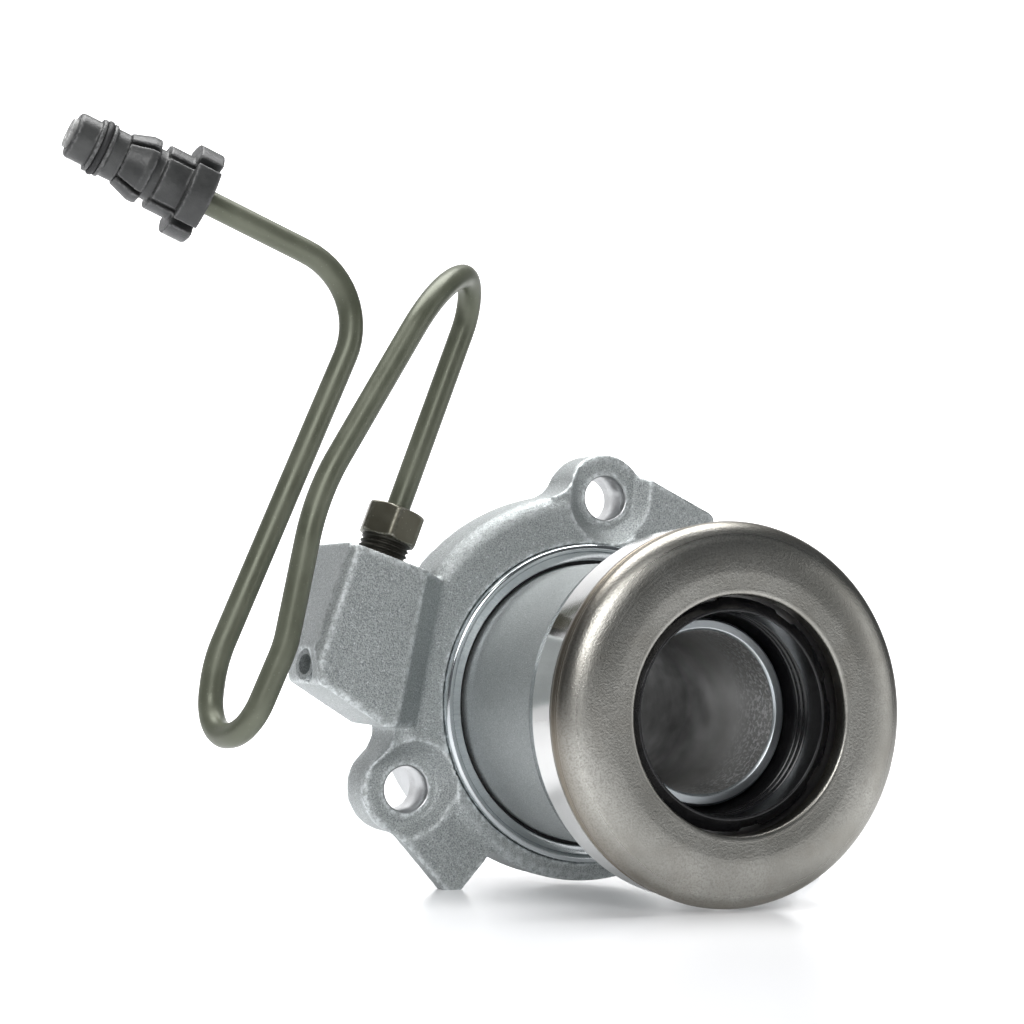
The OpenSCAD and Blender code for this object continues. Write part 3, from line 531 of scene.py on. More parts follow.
# painted shade: the thread below the hex is coloured far darker than the nut's own coating
threadPaintedShade = makeCoated(
    "threadPaintedShade", dark=colour(0.025, 0.024, 0.018), light=colour(0.05, 0.048, 0.038),
    bare=colour(0.09, 0.088, 0.075), rough=0.4, metallic=0.6, bumpStrength=0.15,
)
cagePlastic = makeMoulded(
    "cagePlastic", dark=colour(0.03, 0.031, 0.031), light=colour(0.056, 0.057, 0.056),
    bare=colour(0.15, 0.15, 0.15), roughLow=0.32, roughHigh=0.46, grainSize=0.0004, bumpStrength=0.5,
)
spigotPlastic = makeMoulded(
    "spigotPlastic", dark=colour(0.034, 0.035, 0.034), light=colour(0.062, 0.063, 0.062),
    bare=colour(0.16, 0.16, 0.16), roughLow=0.3, roughHigh=0.44, grainSize=0.0004, bumpStrength=0.5,
)
palePlastic = makeMoulded(
    "palePlastic", dark=colour(0.2, 0.2, 0.195), light=colour(0.5, 0.5, 0.49),
    bare=colour(0.75, 0.75, 0.74), roughLow=0.3, roughHigh=0.5, grainSize=0.0004, bumpStrength=1.0,
)
sleevePlastic = makeMoulded(
    "sleevePlastic", dark=colour(0.008, 0.008, 0.009), light=colour(0.016, 0.016, 0.017),
    bare=colour(0.07, 0.07, 0.07), roughLow=0.12, roughHigh=0.22, grainSize=0.0006, bumpStrength=0.08,
)
tanPlastic = makeMoulded(
    "tanPlastic", dark=colour(0.2, 0.16, 0.09), light=colour(0.3, 0.25, 0.15),
    bare=colour(0.4, 0.35, 0.24), roughLow=0.4, roughHigh=0.55, grainSize=0.0004, bumpStrength=0.2,
)
blackRubber = makeMoulded(
    "blackRubber", dark=colour(0.012, 0.012, 0.013), light=colour(0.022, 0.022, 0.023),
    bare=colour(0.04, 0.04, 0.04), roughLow=0.5, roughHigh=0.7, grainSize=0.0003, bumpStrength=0.2,
)

black = colour(0.0, 0.0, 0.0)
white = colour(1.0, 1.0, 1.0)
floorLook = {
    "plain": colour(0.88, 0.88, 0.89), "rough": 0.2, "glow": 0.14, "specular": 0.3,
    "cloudScale": 8.0, "cloudDetail": 2.0, "roughLow": 0.16, "roughHigh": 0.26,
    "dim": colour(0.3, 0.3, 0.305), "lit": colour(0.88, 0.885, 0.9),
    "dimX": -0.6, "litX": -0.2, "dimY": -0.9, "litY": -0.45,
}


def makeFloorFinish(s):
    more = {"Emission Strength": s["glow"], "Specular IOR Level": s["specular"]}
    material, tree, shader = newMaterial("paleGloss", s["plain"], 0.0, s["rough"], more)
    place = objectPlace(tree)
    cloud = put(tree, "ShaderNodeTexNoise", {"Scale": s["cloudScale"], "Detail": s["cloudDetail"]})
    tree.links.new(place, cloud.inputs["Vector"])
    rough = spread(tree, cloud.outputs["Fac"], s["roughLow"], s["roughHigh"])
    tree.links.new(rough, shader.inputs["Roughness"])
    parts = splitPlace(tree, place)
    # painted pool of light: colour and glow fade from lit near the part to dim out to the left and towards the front
    litAcross = spread(tree, parts.outputs["X"], 0.0, 1.0, s["dimX"], s["litX"])
    litAway = spread(tree, parts.outputs["Y"], 0.0, 1.0, s["dimY"], s["litY"])
    lit = multiply(tree, litAcross, litAway)
    tree.links.new(mixColour(tree, lit, s["dim"], s["lit"]), shader.inputs["Base Color"])
    tree.links.new(mixColour(tree, lit, black, white), shader.inputs["Emission Color"])
    return material


wallLook = {
    "plain": colour(0.78, 0.78, 0.79), "rough": 0.7, "glow": 1.1,
    "lowZ": 0.45, "highZ": 0.8, "highShare": 0.1, "leftX": -0.3, "rightX": 0.05, "leftShare": 0.12,
}


def makeWallFinish(s):
    more = {"Emission Strength": s["glow"]}
    material, tree, shader = newMaterial("paleWall", s["plain"], 0.0, s["rough"], more)
    parts = splitPlace(tree, objectPlace(tree))
    # painted light: the wall glows, brightest low down and to the right, fading upwards and to the left
    lower = spread(tree, parts.outputs["Z"], 1.0, s["highShare"], s["lowZ"], s["highZ"])
    right = spread(tree, parts.outputs["X"], s["leftShare"], 1.0, s["leftX"], s["rightX"])
    glow = multiply(tree, lower, right)
    tree.links.new(mixColour(tree, glow, black, white), shader.inputs["Emission Color"])
    return material


floor.data.materials.append(makeFloorFinish(floorLook))
floor.data.materials.append(makeWallFinish(wallLook))
print("finishes made:", len(bpy.data.materials))


# mesh helpers: profiles are (radius, height over the mounting face, corner rounding) in millimetres

flatTurn = 0.02    # corners that turn less than this, in radians, stay as they are
mostTrim = 0.48    # share of an edge that one rounding may take


def roundCorners(corners, steps=5):
    points = []
    count = len(corners)
    for i, (r, z, rounding) in enumerate(corners):
        here = Vector((r, z))
        before = Vector(corners[i - 1][:2]) - here
        after = Vector(corners[(i + 1) % count][:2]) - here
        turn = math.pi - before.angle(after)
        if rounding <= 0 or turn < flatTurn:
            points.append((r, z))
            continue
        trim = min(rounding * math.tan(turn / 2), before.length * mostTrim, after.length * mostTrim)
        radius = trim / math.tan(turn / 2)
        inward = (before.normalized() + after.normalized()).normalized()
        centre = here + inward * (radius / math.cos(turn / 2))
        start = here + before.normalized() * trim - centre
        stop = here + after.normalized() * trim - centre
        swing = start.angle_signed(stop)
        for k in range(steps + 1):
            a = swing * k / steps
            p = centre + Vector((
                start.x * math.cos(-a) - start.y * math.sin(-a),
                start.x * math.sin(-a) + start.y * math.cos(-a),
            ))
            points.append((p.x, p.y))
    return points


def evenProfile(points, step, passes):
    line = []
    for i, (r, z) in enumerate(points):
        nextR, nextZ = points[(i + 1) % len(points)]
        count = max(1, round(math.hypot(nextR - r, nextZ - z) / step))
        line += [(r + (nextR - r) * k / count, z + (nextZ - z) * k / count) for k in range(count)]
    for _ in range(passes):
        threes = zip(line[-1:] + line[:-1], line, line[1:] + line[:1])
        line = [tuple(b / 2 + (a + c) / 4 for a, b, c in zip(*three)) for three in threes]
    return line


def arcPoints(cr, cz, radius, fromDeg, toDeg, steps):
    made = []
    for k in range(steps + 1):
        a = math.radians(fromDeg + (toDeg - fromDeg) * k / steps)
        made.append((cr + radius * math.cos(a), cz + radius * math.sin(a), 0))
    return made


def addPiece(name, made, materials):
    bmesh.ops.recalc_face_normals(made, faces=made.faces)
    for face in made.faces:
        face.smooth = True
    mesh = bpy.data.meshes.new(name)
    made.to_mesh(mesh)
    made.free()
    for material in materials:
        mesh.materials.append(material)
    piece = bpy.data.objects.new(name, mesh)
    scene.collection.objects.link(piece)
    return piece


normalWeight = 80


def finishPiece(name, made, materials, body, replaced):
    piece = addPiece(name, made, materials)
    weights = piece.modifiers.new("evenNormals", "WEIGHTED_NORMAL")
    weights.weight = normalWeight
    weights.keep_sharp = True
    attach(piece, body)
    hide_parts(replaced)
    return piece


def lathe(profile, segments, shape=None):
    made = bmesh.new()
    rings = []
    for i in range(segments):
        a = 2 * math.pi * i / segments
        ring = []
        for r, z in profile:
            if shape:
                r, z = shape(r, z, math.degrees(a))
            ring.append(made.verts.new((r * math.cos(a) * mm, -z * mm, r * math.sin(a) * mm)))
        rings.append(ring)
    count = len(profile)
    for i in range(segments):
        a, b = rings[i], rings[(i + 1) % segments]
        for k in range(count):
            n = (k + 1) % count
            made.faces.new((a[k], a[n], b[n], b[k]))
    return made


wearFrom = 0.25   # share of the full height at which an edge starts to show


def markEdges(mesh, passes, full):
    count = len(mesh.vertices)
    places = np.empty(count * 3)
    normals = np.empty(count * 3)
    pairs = np.empty(len(mesh.edges) * 2, dtype=np.int32)
    mesh.vertices.foreach_get("co", places)
    mesh.vertices.foreach_get("normal", normals)
    mesh.edges.foreach_get("vertices", pairs)
    places = places.reshape(-1, 3)
    a, b = pairs[0::2], pairs[1::2]
    links = np.bincount(a, minlength=count) + np.bincount(b, minlength=count)
    soft = places.copy()
    for _ in range(passes):
        sums = [np.bincount(a, soft[b, k], count) + np.bincount(b, soft[a, k], count) for k in range(3)]
        near = np.stack(sums, axis=1)
        soft = soft / 2 + near / np.maximum(links, 1)[:, None] / 2
    proud = ((places - soft) * normals.reshape(-1, 3)).sum(axis=1)
    layer = mesh.attributes.new("edgeMask", "FLOAT", "POINT")
    layer.data.foreach_set("value", np.clip(proud / full - wearFrom, 0, 1))


def dressNode(name, material):
    piece = nodes[name]
    if not piece.material_slots:
        piece.data.materials.append(material)
    for place in piece.material_slots:
        place.material = material


def softSkin(piece, voxel, smoothing, passes):
    remesh = piece.modifiers.new("evenSkin", "REMESH")
    remesh.mode = "VOXEL"
    remesh.voxel_size = voxel
    remesh.use_smooth_shade = True
    soft = piece.modifiers.new("softEdges", "SMOOTH")
    soft.factor = smoothing
    soft.iterations = passes


def keepResult(piece):
    bpy.context.view_layer.update()
    made = bpy.data.meshes.new_from_object(piece.evaluated_get(bpy.context.evaluated_depsgraph_get()))
    piece.modifiers.clear()
    piece.data = made
    return made


# cast housing: the solid's own shape with the soft edges of a casting and bored bolt holes

housingSettings = {
    "voxel": 0.00048, "smoothing": 0.5, "passes": 5, "wearPasses": 12, "wearFull": 0.00012,
    "boltR": 42.0, "boltAngles": (82, 202, 322), "holeR": 4.5, "seatZ": 10.0, "rimBevel": 0.3, "over": 1.0,
    "fillR": 4.8, "fillIn": 0.05, "sides": 96,
}


def boltPlaces(s):
    angles = [math.radians(angle) for angle in s["boltAngles"]]
    return [(s["boltR"] * math.cos(a), s["boltR"] * math.sin(a)) for a in angles]


def makeBoltCutter(s):
    made = bmesh.new()
    wide = s["holeR"] + s["rimBevel"]
    wider = s["holeR"] + s["rimBevel"] * 2
    profile = (
        (wider, -s["over"]), (wide, 0.0), (s["holeR"], s["rimBevel"]),
        (s["holeR"], s["seatZ"] - s["rimBevel"]), (wide, s["seatZ"]), (wider, s["seatZ"] + s["over"]),
    )
    for x, y in boltPlaces(s):
        rows = []
        for r, z in profile:
            row = []
            for k in range(s["sides"]):
                a = 2 * math.pi * k / s["sides"]
                row.append(made.verts.new(((x + r * math.cos(a)) * mm, -z * mm, (y + r * math.sin(a)) * mm)))
            rows.append(row)
        for a, b in zip(rows, rows[1:]):
            for k in range(s["sides"]):
                n = (k + 1) % s["sides"]
                made.faces.new((a[k], a[n], b[n], b[k]))
        made.faces.new(rows[0])
        made.faces.new(rows[-1])
    bmesh.ops.recalc_face_normals(made, faces=made.faces)
    for face in made.faces:
        face.smooth = len(face.verts) == 4
    mesh = bpy.data.meshes.new("boltCutter")
    made.to_mesh(mesh)
    made.free()
    mesh.materials.append(machinedAlloy)
    cutter = bpy.data.objects.new("boltCutter", mesh)
    scene.collection.objects.link(cutter)
    return cutter


def fillBolts(mesh, s):
    made = bmesh.new()
    made.from_mesh(mesh)
    depth = s["seatZ"] - 2 * s["fillIn"]
    for x, y in boltPlaces(s):
        place = Matrix.Translation((x * mm, -s["seatZ"] / 2 * mm, y * mm)) @ Matrix.Rotation(math.pi / 2, 4, "X")
        bmesh.ops.create_cone(
            made, cap_ends=True, segments=s["sides"], radius1=s["fillR"] * mm, radius2=s["fillR"] * mm,
            depth=depth * mm, matrix=place,
        )
    made.to_mesh(mesh)
    made.free()


def makeHousing(s):
    mesh = nodes["housing"].data.copy()
    mesh.name = "castBody"
    mesh.materials.clear()
    mesh.materials.append(castAlloy)
    fillBolts(mesh, s)   # filled before the skin is softened, then bored true
    piece = bpy.data.objects.new("castBody", mesh)
    scene.collection.objects.link(piece)
    softSkin(piece, s["voxel"], s["smoothing"], s["passes"])
    cutter = makeBoltCutter(s)
    bores = piece.modifiers.new("boltBores", "BOOLEAN")
    bores.operation = "DIFFERENCE"
    bores.solver = "EXACT"
    bores.object = cutter
    bores.material_mode = "TRANSFER"
    made = keepResult(piece)
    bpy.data.objects.remove(cutter)
    markEdges(made, s["wearPasses"], s["wearFull"])
    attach(piece, "cylinder")
    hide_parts("housing")
    print("housing faces:", len(made.polygons))


makeHousing(housingSettings)


# pressure cup behind the housing

cupSettings = {
    "outer": 34.05, "rear": -20.0, "neckTop": 7.5, "chamber": 28.05, "floor": -16.5, "bore": 17.27,
    "groove": 32.45, "grooveLow": -7.0, "grooveHigh": -5.0, "grooveSoft": 0.1, "bevel": 0.5, "soft": 0.3,
    "boreSoft": 0.2, "segments": 160,
}


def makeCup(s):
    profile = roundCorners([
        (s["bore"], s["rear"], s["soft"]), (s["outer"] - s["bevel"], s["rear"], s["soft"]),
        (s["outer"], s["rear"] + s["bevel"], s["soft"]), (s["outer"], s["grooveLow"], s["grooveSoft"]),
        (s["groove"], s["grooveLow"], s["grooveSoft"]), (s["groove"], s["grooveHigh"], s["grooveSoft"]),
        (s["outer"], s["grooveHigh"], s["grooveSoft"]), (s["outer"], s["neckTop"], s["soft"]),
        (s["chamber"], s["neckTop"], s["soft"]), (s["chamber"], s["floor"], s["soft"]),
        (s["bore"], s["floor"], s["boreSoft"]),
    ])
    made = lathe(profile, s["segments"])
    finishPiece("pressureCup", made, [machinedAlloy], "cylinder", "pressure_cup")


makeCup(cupSettings)


# guide tube, mouth ring, barrel

tubeSettings = {
    "bore": 15.0, "outer": 17.25, "rear": -20.0, "end": 60.6, "chamfer": 0.4, "soft": 0.25, "rearSoft": 0.3,
    "segments": 128, "wallGap": 0.01,
}


def makeTube(s):
    profile = roundCorners([
        (s["bore"], s["rear"], s["rearSoft"]), (s["outer"], s["rear"], s["rearSoft"]),
        (s["outer"], s["end"] - s["chamfer"], s["soft"]), (s["outer"] - s["chamfer"], s["end"], s["soft"]),
        (s["bore"] + s["chamfer"], s["end"], s["soft"]), (s["bore"], s["end"] - s["chamfer"], s["soft"]),
    ])
    made = lathe(profile, s["segments"])
    reach = (s["bore"] + s["wallGap"]) * mm
    for face in made.faces:
        if all(math.hypot(v.co.x, v.co.z) < reach for v in face.verts):
            face.material_index = 1   # the inner wall
    finishPiece("guideTube", made, [platedZinc, tubeBore], "cylinder", "guide_tube")


mouthSettings = {
    "outer": 32.1, "inner": 30.8, "lip": 28.7, "seat": 9.5, "lipTop": 14.15, "lipUnder": 12.85, "bead": 0.85,
    "beadSteps": 12, "lipSoft": 0.3, "seatSoft": 0.15, "innerSoft": 0.1, "segments": 160,
}


def makeMouthRing(s):
    bead = arcPoints(s["outer"] - s["bead"], s["lipTop"], s["bead"], 0, 180, s["beadSteps"])
    profile = roundCorners(
        [(s["outer"], s["seat"], s["seatSoft"])]
        + bead
        + [(s["lip"], s["lipTop"], s["lipSoft"]), (s["lip"], s["lipUnder"], s["lipSoft"]),
           (s["inner"], s["lipUnder"], s["innerSoft"]), (s["inner"], s["seat"], s["seatSoft"])]
    )
    made = lathe(profile, s["segments"])
    finishPiece("mouthRing", made, [brightRing], "cylinder", "mouth_ring")


barrelSettings = {
    "bore": 17.3, "outer": 28.0, "rear": 10.0, "front": 56.0, "bevel": 0.6, "seatR": 20.22, "seatDepth": 6.0,
    "soft": 0.2, "seatSoft": 0.1, "segments": 160,
}


def makeBarrel(s):
    seat = s["front"] - s["seatDepth"]
    profile = roundCorners([
        (s["bore"], s["rear"], s["soft"]), (s["outer"] - s["bevel"], s["rear"], s["soft"]),
        (s["outer"], s["rear"] + s["bevel"], s["soft"]), (s["outer"], s["front"], s["soft"]),
        (s["seatR"], s["front"], s["seatSoft"]), (s["seatR"], seat, s["seatSoft"]), (s["bore"], seat, s["soft"]),
    ])
    made = lathe(profile, s["segments"])
    finishPiece("pistonBarrel", made, [barrelSkin], "piston_group", "piston")


makeTube(tubeSettings)
makeMouthRing(mouthSettings)
makeBarrel(barrelSettings)
print("tube, ring and barrel turned")


# release bearing

rearRingSettings = {
    "bore": 20.3, "rear": 56.0, "taperR": 33.0, "outer": 34.0, "taperTop": 60.0, "front": 67.3, "rimIn": 31.8,
    "web": 59.0, "hub": 26.4, "hubStep": 24.4, "hubFront": 68.6,
    "raceR": 28.0, "raceZ": 67.45, "race": 3.55, "raceEdge": 66.95, "raceSteps": 10,
    "soft": 0.2, "webSoft": 0.3, "taperSoft": 0.6, "segments": 192,
}


def makeRearRing(s):
    low = math.degrees(math.asin((s["raceR"] - s["hub"]) / s["race"]))
    high = math.degrees(math.asin((s["raceZ"] - s["raceEdge"]) / s["race"]))
    race = arcPoints(s["raceR"], s["raceZ"], s["race"], 270 - low, 180 + high, s["raceSteps"])
    profile = roundCorners(
        [(s["bore"], s["rear"], s["soft"]), (s["taperR"], s["rear"], s["webSoft"]),
         (s["outer"], s["taperTop"], s["taperSoft"]), (s["outer"], s["front"], s["webSoft"]),
         (s["rimIn"], s["front"], s["soft"]), (s["rimIn"], s["web"], s["webSoft"]), (s["hub"], s["web"], s["webSoft"])]
        + race
        + [(s["hubStep"], s["raceEdge"], 0.0), (s["hubStep"], s["hubFront"], s["soft"]),
           (s["bore"], s["hubFront"], s["soft"])]
    )
    made = lathe(profile, s["segments"])
    finishPiece("polishedRing", made, [groundSteel], "piston_group", "bearing_rear_ring")


shellSettings = {
    "lipR": 21.35, "lipT": 1.3, "lipEnd": 72.1, "lipDrop": 0.25, "lipOutDrop": 0.2,
    "outer": 34.65, "rear": 67.6, "front": 75.5, "skirtDrop": 0.4, "skirtIn": 29.3, "cavity": 73.5,
    "crownR": 25.5, "crownZ": 70.9, "crownPower": 2.3, "crownSteps": 32,
    "raceR": 28.0, "raceZ": 67.45, "race": 3.55, "raceSteps": 10,
    "grooves": ((71.0, 0.35, 0.32), (69.7, 0.55, 0.55)),   # height, half width and depth of each
    "grooveFloor": 0.3, "endSoft": 0.2, "lipSoft": 0.7, "lipOutSoft": 0.5, "soft": 0.3, "cavitySoft": 0.4,
    "step": 0.2, "passes": 3, "segments": 192,
}


def makeShell(s):
    lipOut = s["lipR"] + s["lipT"]
    skirt = s["outer"] - s["skirtDrop"]
    slope = s["skirtDrop"] / (s["crownZ"] - s["rear"])
    crown = []
    for k in range(s["crownSteps"] + 1):
        a = math.pi / 2 * (1 - k / s["crownSteps"])
        across = max(0.0, math.cos(a)) ** (2 / s["crownPower"])
        along = max(0.0, math.sin(a)) ** (2 / s["crownPower"])
        r = s["crownR"] + (s["outer"] - s["crownR"]) * across
        crown.append((r, s["crownZ"] + (s["front"] - s["crownZ"]) * along, 0))
    rolled = []
    for z, half, deep in s["grooves"]:
        r = min(s["outer"], skirt + slope * (z - s["rear"]))
        flat = half * s["grooveFloor"]
        rolled += [(r, z + half, 0), (r - deep, z + flat, 0), (r - deep, z - flat, 0), (r, z - half, 0)]
    raceLow = math.degrees(math.asin((s["rear"] - s["raceZ"]) / s["race"]))
    raceHigh = math.degrees(math.acos((s["skirtIn"] - s["raceR"]) / s["race"]))
    race = arcPoints(s["raceR"], s["raceZ"], s["race"], raceLow, raceHigh, s["raceSteps"])
    profile = roundCorners(
        [(s["lipR"], s["lipEnd"], s["endSoft"]), (s["lipR"], s["front"] - s["lipDrop"], s["lipSoft"]),
         (lipOut, s["front"] - s["lipOutDrop"], s["lipOutSoft"])]
        + crown[:-1]
        + rolled
        + [(skirt, s["rear"], s["soft"])]
        + race
        + [(s["skirtIn"], s["cavity"], s["cavitySoft"]), (lipOut, s["cavity"], s["soft"]),
           (lipOut, s["lipEnd"], s["endSoft"])]
    )
    made = lathe(evenProfile(profile, s["step"], s["passes"]), s["segments"])
    finishPiece("pressedShell", made, [shellSteel], "shell", "bearing_shell")


sleeveSettings = {
    "bore": 18.4, "outer": 20.2, "rear": 50.0, "flangeRear": 69.9, "flangeFront": 71.9, "flangeR": 21.0,
    "cone": 1.4, "leadIn": 0.5, "soft": 0.2, "flangeSoft": 0.1, "coneSoft": 0.15,
    "ridges": (66.6, 65.0, 63.4), "ridgeR": 0.5, "ridgeSteps": 6,
    "notches": 8, "notchTurn": 10.0, "notchW": 4.4, "notchDepth": 0.5, "segments": 192,
}


def makeSleeve(s):
    ridges = []
    for z in s["ridges"]:
        ridges += arcPoints(s["bore"], z, s["ridgeR"], 90, -90, s["ridgeSteps"])
    profile = roundCorners(
        [(s["bore"], s["rear"], s["soft"]), (s["outer"], s["rear"], s["soft"]),
         (s["outer"], s["flangeRear"], s["flangeSoft"]), (s["flangeR"], s["flangeRear"], s["flangeSoft"]),
         (s["flangeR"], s["flangeFront"] - s["cone"], s["coneSoft"]),
         (s["bore"] + s["leadIn"], s["flangeFront"], s["soft"]), (s["bore"], s["flangeFront"], s["soft"])]
        + ridges
    )
    half = math.degrees(s["notchW"] / 2 / s["flangeR"])

    def notched(r, z, angle):
        gap = 360 / s["notches"]
        away = (angle - s["notchTurn"] + gap / 2) % gap - gap / 2
        limit = s["flangeR"] - s["notchDepth"]
        if abs(away) < half and r > limit:
            r = limit
        return r, z

    made = lathe(profile, s["segments"], notched)
    finishPiece("centringSleeve", made, [sleevePlastic], "piston_group", "centring_sleeve")


makeRearRing(rearRingSettings)
makeShell(shellSettings)
makeSleeve(sleeveSettings)
print("bearing turned")


# feed pipe and tube nut, in the drawing frame: x right, y up, z towards the bearing

def toPart(p):
    return Vector((p[0], -p[2], p[1])) * mm


pipeSettings = {
    "outer": 2.375, "bore": 1.675, "sides": 28, "bendSteps": 14,
    "inlet": (-43.8, 29.5, 10.0), "angle": 68.0, "seat": 13.0, "strand": 62.5,
    "flare": 3.575, "flareCone": 0.8, "flareLen": 1.95, "flareStep": 0.05,
    "corners": [
        (-37.5, 82, 28.5), (-65, 41, 34.5), (-71.5, 13.5, 35), (-78.3, -2, 33.8),
        (-81.9, -3.8, 18.4), (-79.6, 10.5, 17.6), (-46, 82.5, 15.5),
    ],
    "bends": [8.5, 24, 45, 22, 8, 8, 30, 15],
    "nose": (-105, 108.5, 15), "stop": 4.0,
}


def inletDirection():
    a = math.radians(pipeSettings["angle"])
    return Vector((math.cos(a), math.sin(a), 0))


def bendPoints(before, corner, after, radius, steps):
    a = (corner - before).normalized()
    b = (after - corner).normalized()
    turn = a.angle(b)
    centre = corner + (b - a).normalized() * (radius / math.cos(turn / 2))
    side = (corner - a * radius * math.tan(turn / 2) - centre).normalized()
    made = []
    for k in range(steps + 1):
        w = turn * k / steps
        point = centre + radius * (side * math.cos(w) + a * math.sin(w))
        made.append((point, a * math.cos(w) - side * math.sin(w)))
    return made


def sweep(stations, sides, bore):
    made = bmesh.new()
    across = Vector((0, 0, 1))
    angles = [2 * math.pi * k / sides for k in range(sides)]
    outside, inside = [], []
    for point, along, radius in stations:
        across = (across - across.dot(along) * along).normalized()
        other = along.cross(across)
        ring = [across * math.cos(a) + other * math.sin(a) for a in angles]
        outside.append([made.verts.new(toPart(point + d * radius)) for d in ring])
        if bore:
            inside.append([made.verts.new(toPart(point + d * bore)) for d in ring])
    for layer in (outside, inside):
        for a, b in zip(layer, layer[1:]):
            for k in range(sides):
                n = (k + 1) % sides
                made.faces.new((a[k], a[n], b[n], b[k]))
    for end in (0, -1):
        if bore:
            for k in range(sides):
                n = (k + 1) % sides
                made.faces.new((outside[end][k], outside[end][n], inside[end][n], inside[end][k]))
        else:
            made.faces.new(outside[end])
    return made


def makePipe(s):
    inlet = Vector(s["inlet"])
    up = inletDirection()
    foot = inlet - up * s["seat"]
    nose = Vector(s["nose"])
    corners = [foot, inlet + up * s["strand"]] + [Vector(c) for c in s["corners"]]
    end = nose - (nose - corners[-1]).normalized() * s["stop"]
    corners.append(end)
    flareEnd = foot + up * s["flareLen"]
    stations = [
        (foot, up, s["flare"] - s["flareCone"]), (flareEnd, up, s["flare"]),
        (flareEnd + up * s["flareStep"], up, s["outer"]),
    ]
    for before, corner, after, radius in zip(corners, corners[1:], corners[2:], s["bends"]):
        bend = bendPoints(before, corner, after, radius, s["bendSteps"])
        stations += [(point, along, s["outer"]) for point, along in bend]
    stations.append((end, (nose - corners[-2]).normalized(), s["outer"]))
    made = sweep(stations, s["sides"], s["bore"])
    finishPiece("feedPipe", made, [olivePipe], "cylinder", "feed_pipe")


nutSettings = {
    "flats": 11.0, "hexH": 6.4, "standoff": 4.0, "seat": 13.0, "flare": 2.0, "bore": 2.425, "boreBevel": 0.35,
    "thread": 9.9, "pitch": 1.0, "threadDepth": 0.55, "pitchRows": 8, "fadeIn": 0.8, "fadeOut": 0.6,
    "bevel": 0.75, "coneOver": 0.4, "landIn": 0.1, "turn": 15.0, "cornerSoft": 0.25, "sides": 120,
    "hexRows": (0, 0.12, 0.3, 0.5, 0.75, 0.85, 1.6, 3.2, 4.8, 5.55, 5.65, 5.9, 6.1, 6.28, 6.4),
    "landRows": (0.25, 0.6), "boreRows": (0.7, 0.35),   # even rings on the top face, so that its edges wear cleanly
    "wearPasses": 3, "wearFull": 0.00006,
}


def makeNut(s):
    made = bmesh.new()
    count = s["sides"]
    apothem = s["flats"] / 2
    corner = apothem / math.cos(math.radians(30))
    cone = corner + s["coneOver"]
    land = apothem - s["landIn"]
    top = s["standoff"] + s["hexH"]

    def hexRadius(angle):
        away = (angle - s["turn"] + 30) % 60 - 30
        sharp = apothem / math.cos(math.radians(30 - abs(away)))
        return min(sharp, corner - s["cornerSoft"])

    def coneRadius(h):
        edge = min(h - s["standoff"], top - h)
        return land + (cone - land) * min(1.0, max(0.0, edge) / s["bevel"])

    rows = []
    low = s["flare"] - s["seat"]
    threadRows = int((s["standoff"] - low) / s["pitch"] * s["pitchRows"])
    for i in range(threadRows + 1):
        h = low + (s["standoff"] - low) * i / threadRows
        fade = min(1.0, max(0.0, (h - low) / s["fadeIn"]), max(0.0, (s["standoff"] - h) / s["fadeOut"]))
        row = []
        for k in range(count):
            phase = (h / s["pitch"] - k / count) % 1.0
            cut = s["threadDepth"] * (1 - abs(2 * phase - 1))
            row.append((s["thread"] / 2 - cut * fade, h))
        rows.append(row)
    for step in s["hexRows"]:
        h = s["standoff"] + step
        rows.append([(min(hexRadius(360 * k / count), coneRadius(h)), h) for k in range(count)])
    for r in [land - gap for gap in s["landRows"]] + [s["bore"] + gap for gap in s["boreRows"]]:
        rows.append([(r, top)] * count)
    rows.append([(s["bore"], top - s["boreBevel"])] * count)
    rows.append([(s["bore"], low)] * count)
    angles = [2 * math.pi * k / count for k in range(count)]
    rings = []
    for row in rows:
        rings.append([made.verts.new((r * math.cos(a), r * math.sin(a), h)) for a, (r, h) in zip(angles, row)])
    # thread rows take the painted-shade material, the hex and top faces the nut's own
    for i, (a, b) in enumerate(zip(rings, rings[1:] + rings[:1])):
        for k in range(count):
            n = (k + 1) % count
            made.faces.new((a[k], a[n], b[n], b[k])).material_index = 1 if i < threadRows else 0
    up = inletDirection()
    side = Vector((up.y, -up.x, 0))
    out = side.cross(up)
    for v in made.verts:
        p = Vector(pipeSettings["inlet"]) + side * v.co.x + up * v.co.z - out * v.co.y
        v.co = toPart(p)
    piece = finishPiece("tubeNut", made, [darkNut, threadPaintedShade], "cylinder", "tube_nut")
    markEdges(piece.data, s["wearPasses"], s["wearFull"])


makePipe(pipeSettings)
makeNut(nutSettings)
print("pipe and nut made")


# quick connector: the solids' own shapes with moulded edges

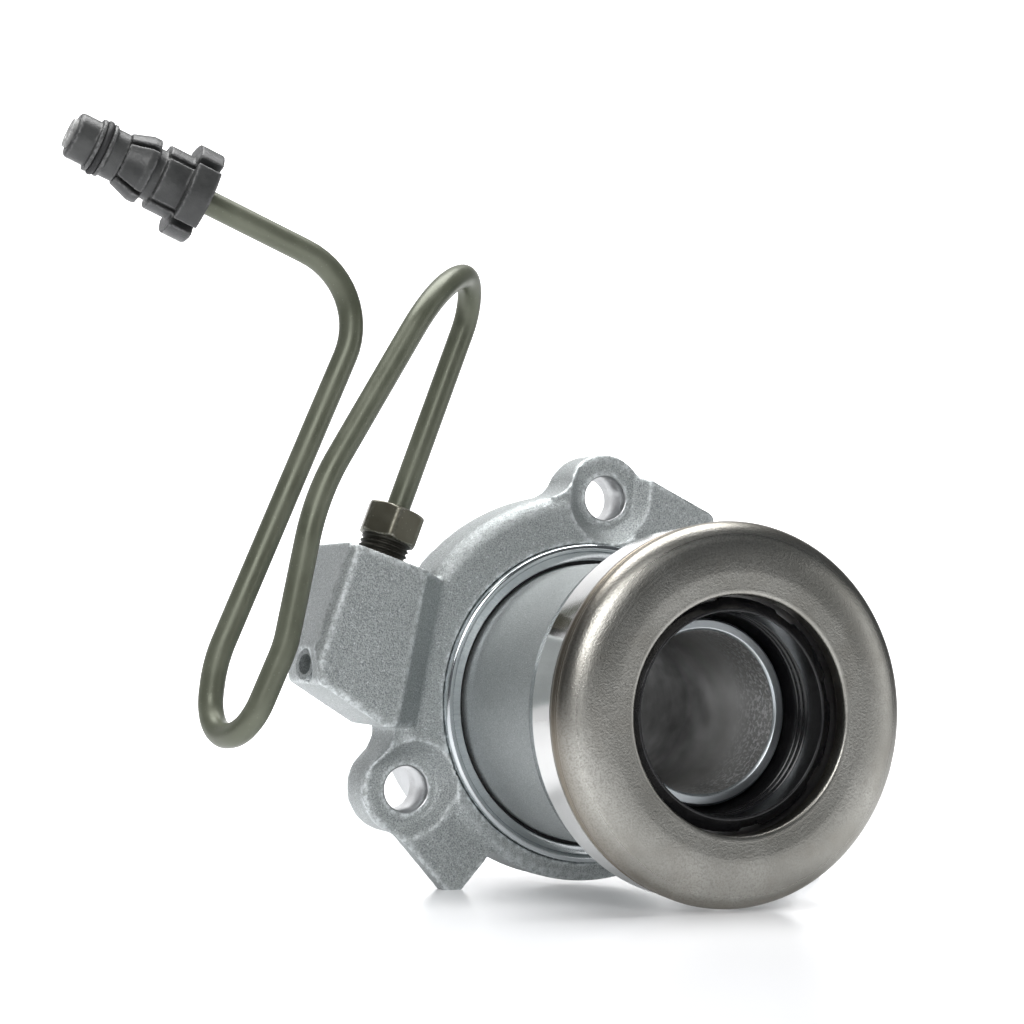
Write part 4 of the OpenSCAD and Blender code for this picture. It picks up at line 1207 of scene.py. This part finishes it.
mouldSettings = {"smoothing": 0.5, "wearPasses": 10, "wearShare": 0.25}
connectorSettings = {
    "lock_cage": {
        "name": "petalCage", "voxel": 0.00022, "passes": 4, "finish": cagePlastic, "slot": "dark_plastic",
    },
    "connector_spigot": {
        "name": "ribbedSpigot", "voxel": 0.0002, "passes": 3, "finish": spigotPlastic, "slot": "grey_plastic",
    },
    "nose_insert": {
        "name": "noseInsert", "voxel": 0.00016, "passes": 3, "finish": palePlastic, "slot": "pale_plastic",
    },
}


def makeMouldedCopy(node, s):
    piece = bpy.data.objects.new(s["name"], nodes[node].data.copy())
    scene.collection.objects.link(piece)
    softSkin(piece, s["voxel"], mouldSettings["smoothing"], s["passes"])
    made = keepResult(piece)
    made.materials.clear()
    made.materials.append(s["finish"])
    markEdges(made, mouldSettings["wearPasses"], s["voxel"] * mouldSettings["wearShare"])
    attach(piece, "cylinder")
    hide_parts(node)
    print(s["name"], "faces:", len(made.polygons))


for node, s in connectorSettings.items():
    makeMouldedCopy(node, s)


# preload spring between the housing and the piston, coiled at one fixed length

springSettings = {
    "wire": 1.0, "turns": 4, "steps": 160, "sides": 12, "baseR": 26.75, "topR": 18.55, "baseZ": -15.5, "topZ": 1.5,
}


def makeSpring(s):
    stations = []
    for i in range(s["steps"] + 1):
        t = i / s["steps"]
        a = 2 * math.pi * s["turns"] * t
        r = s["baseR"] + (s["topR"] - s["baseR"]) * t
        point = Vector((r * math.cos(a), r * math.sin(a), s["baseZ"] + (s["topZ"] - s["baseZ"]) * t))
        stations.append((point, Vector((-math.sin(a), math.cos(a), 0)), s["wire"]))
    piece = addPiece("coilSpring", sweep(stations, s["sides"], 0), [springSteel])
    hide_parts("preload_spring")
    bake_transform(piece)


makeSpring(springSettings)
print("spring coiled")


# inner pieces keep their solids

for name, finish in (
    ("wiper_seal", blackRubber), ("pilot_seal", blackRubber), ("connector_seal", blackRubber),
    ("piston_seal", blackRubber), ("bearing_seal", blackRubber), ("passage_plug", castAlloy),
    ("seal_carrier", tanPlastic), ("ball_cage", tanPlastic), ("wave_washer", springSteel), ("bearing_balls", ballSteel),
):
    dressNode(name, finish)

print("scene done")
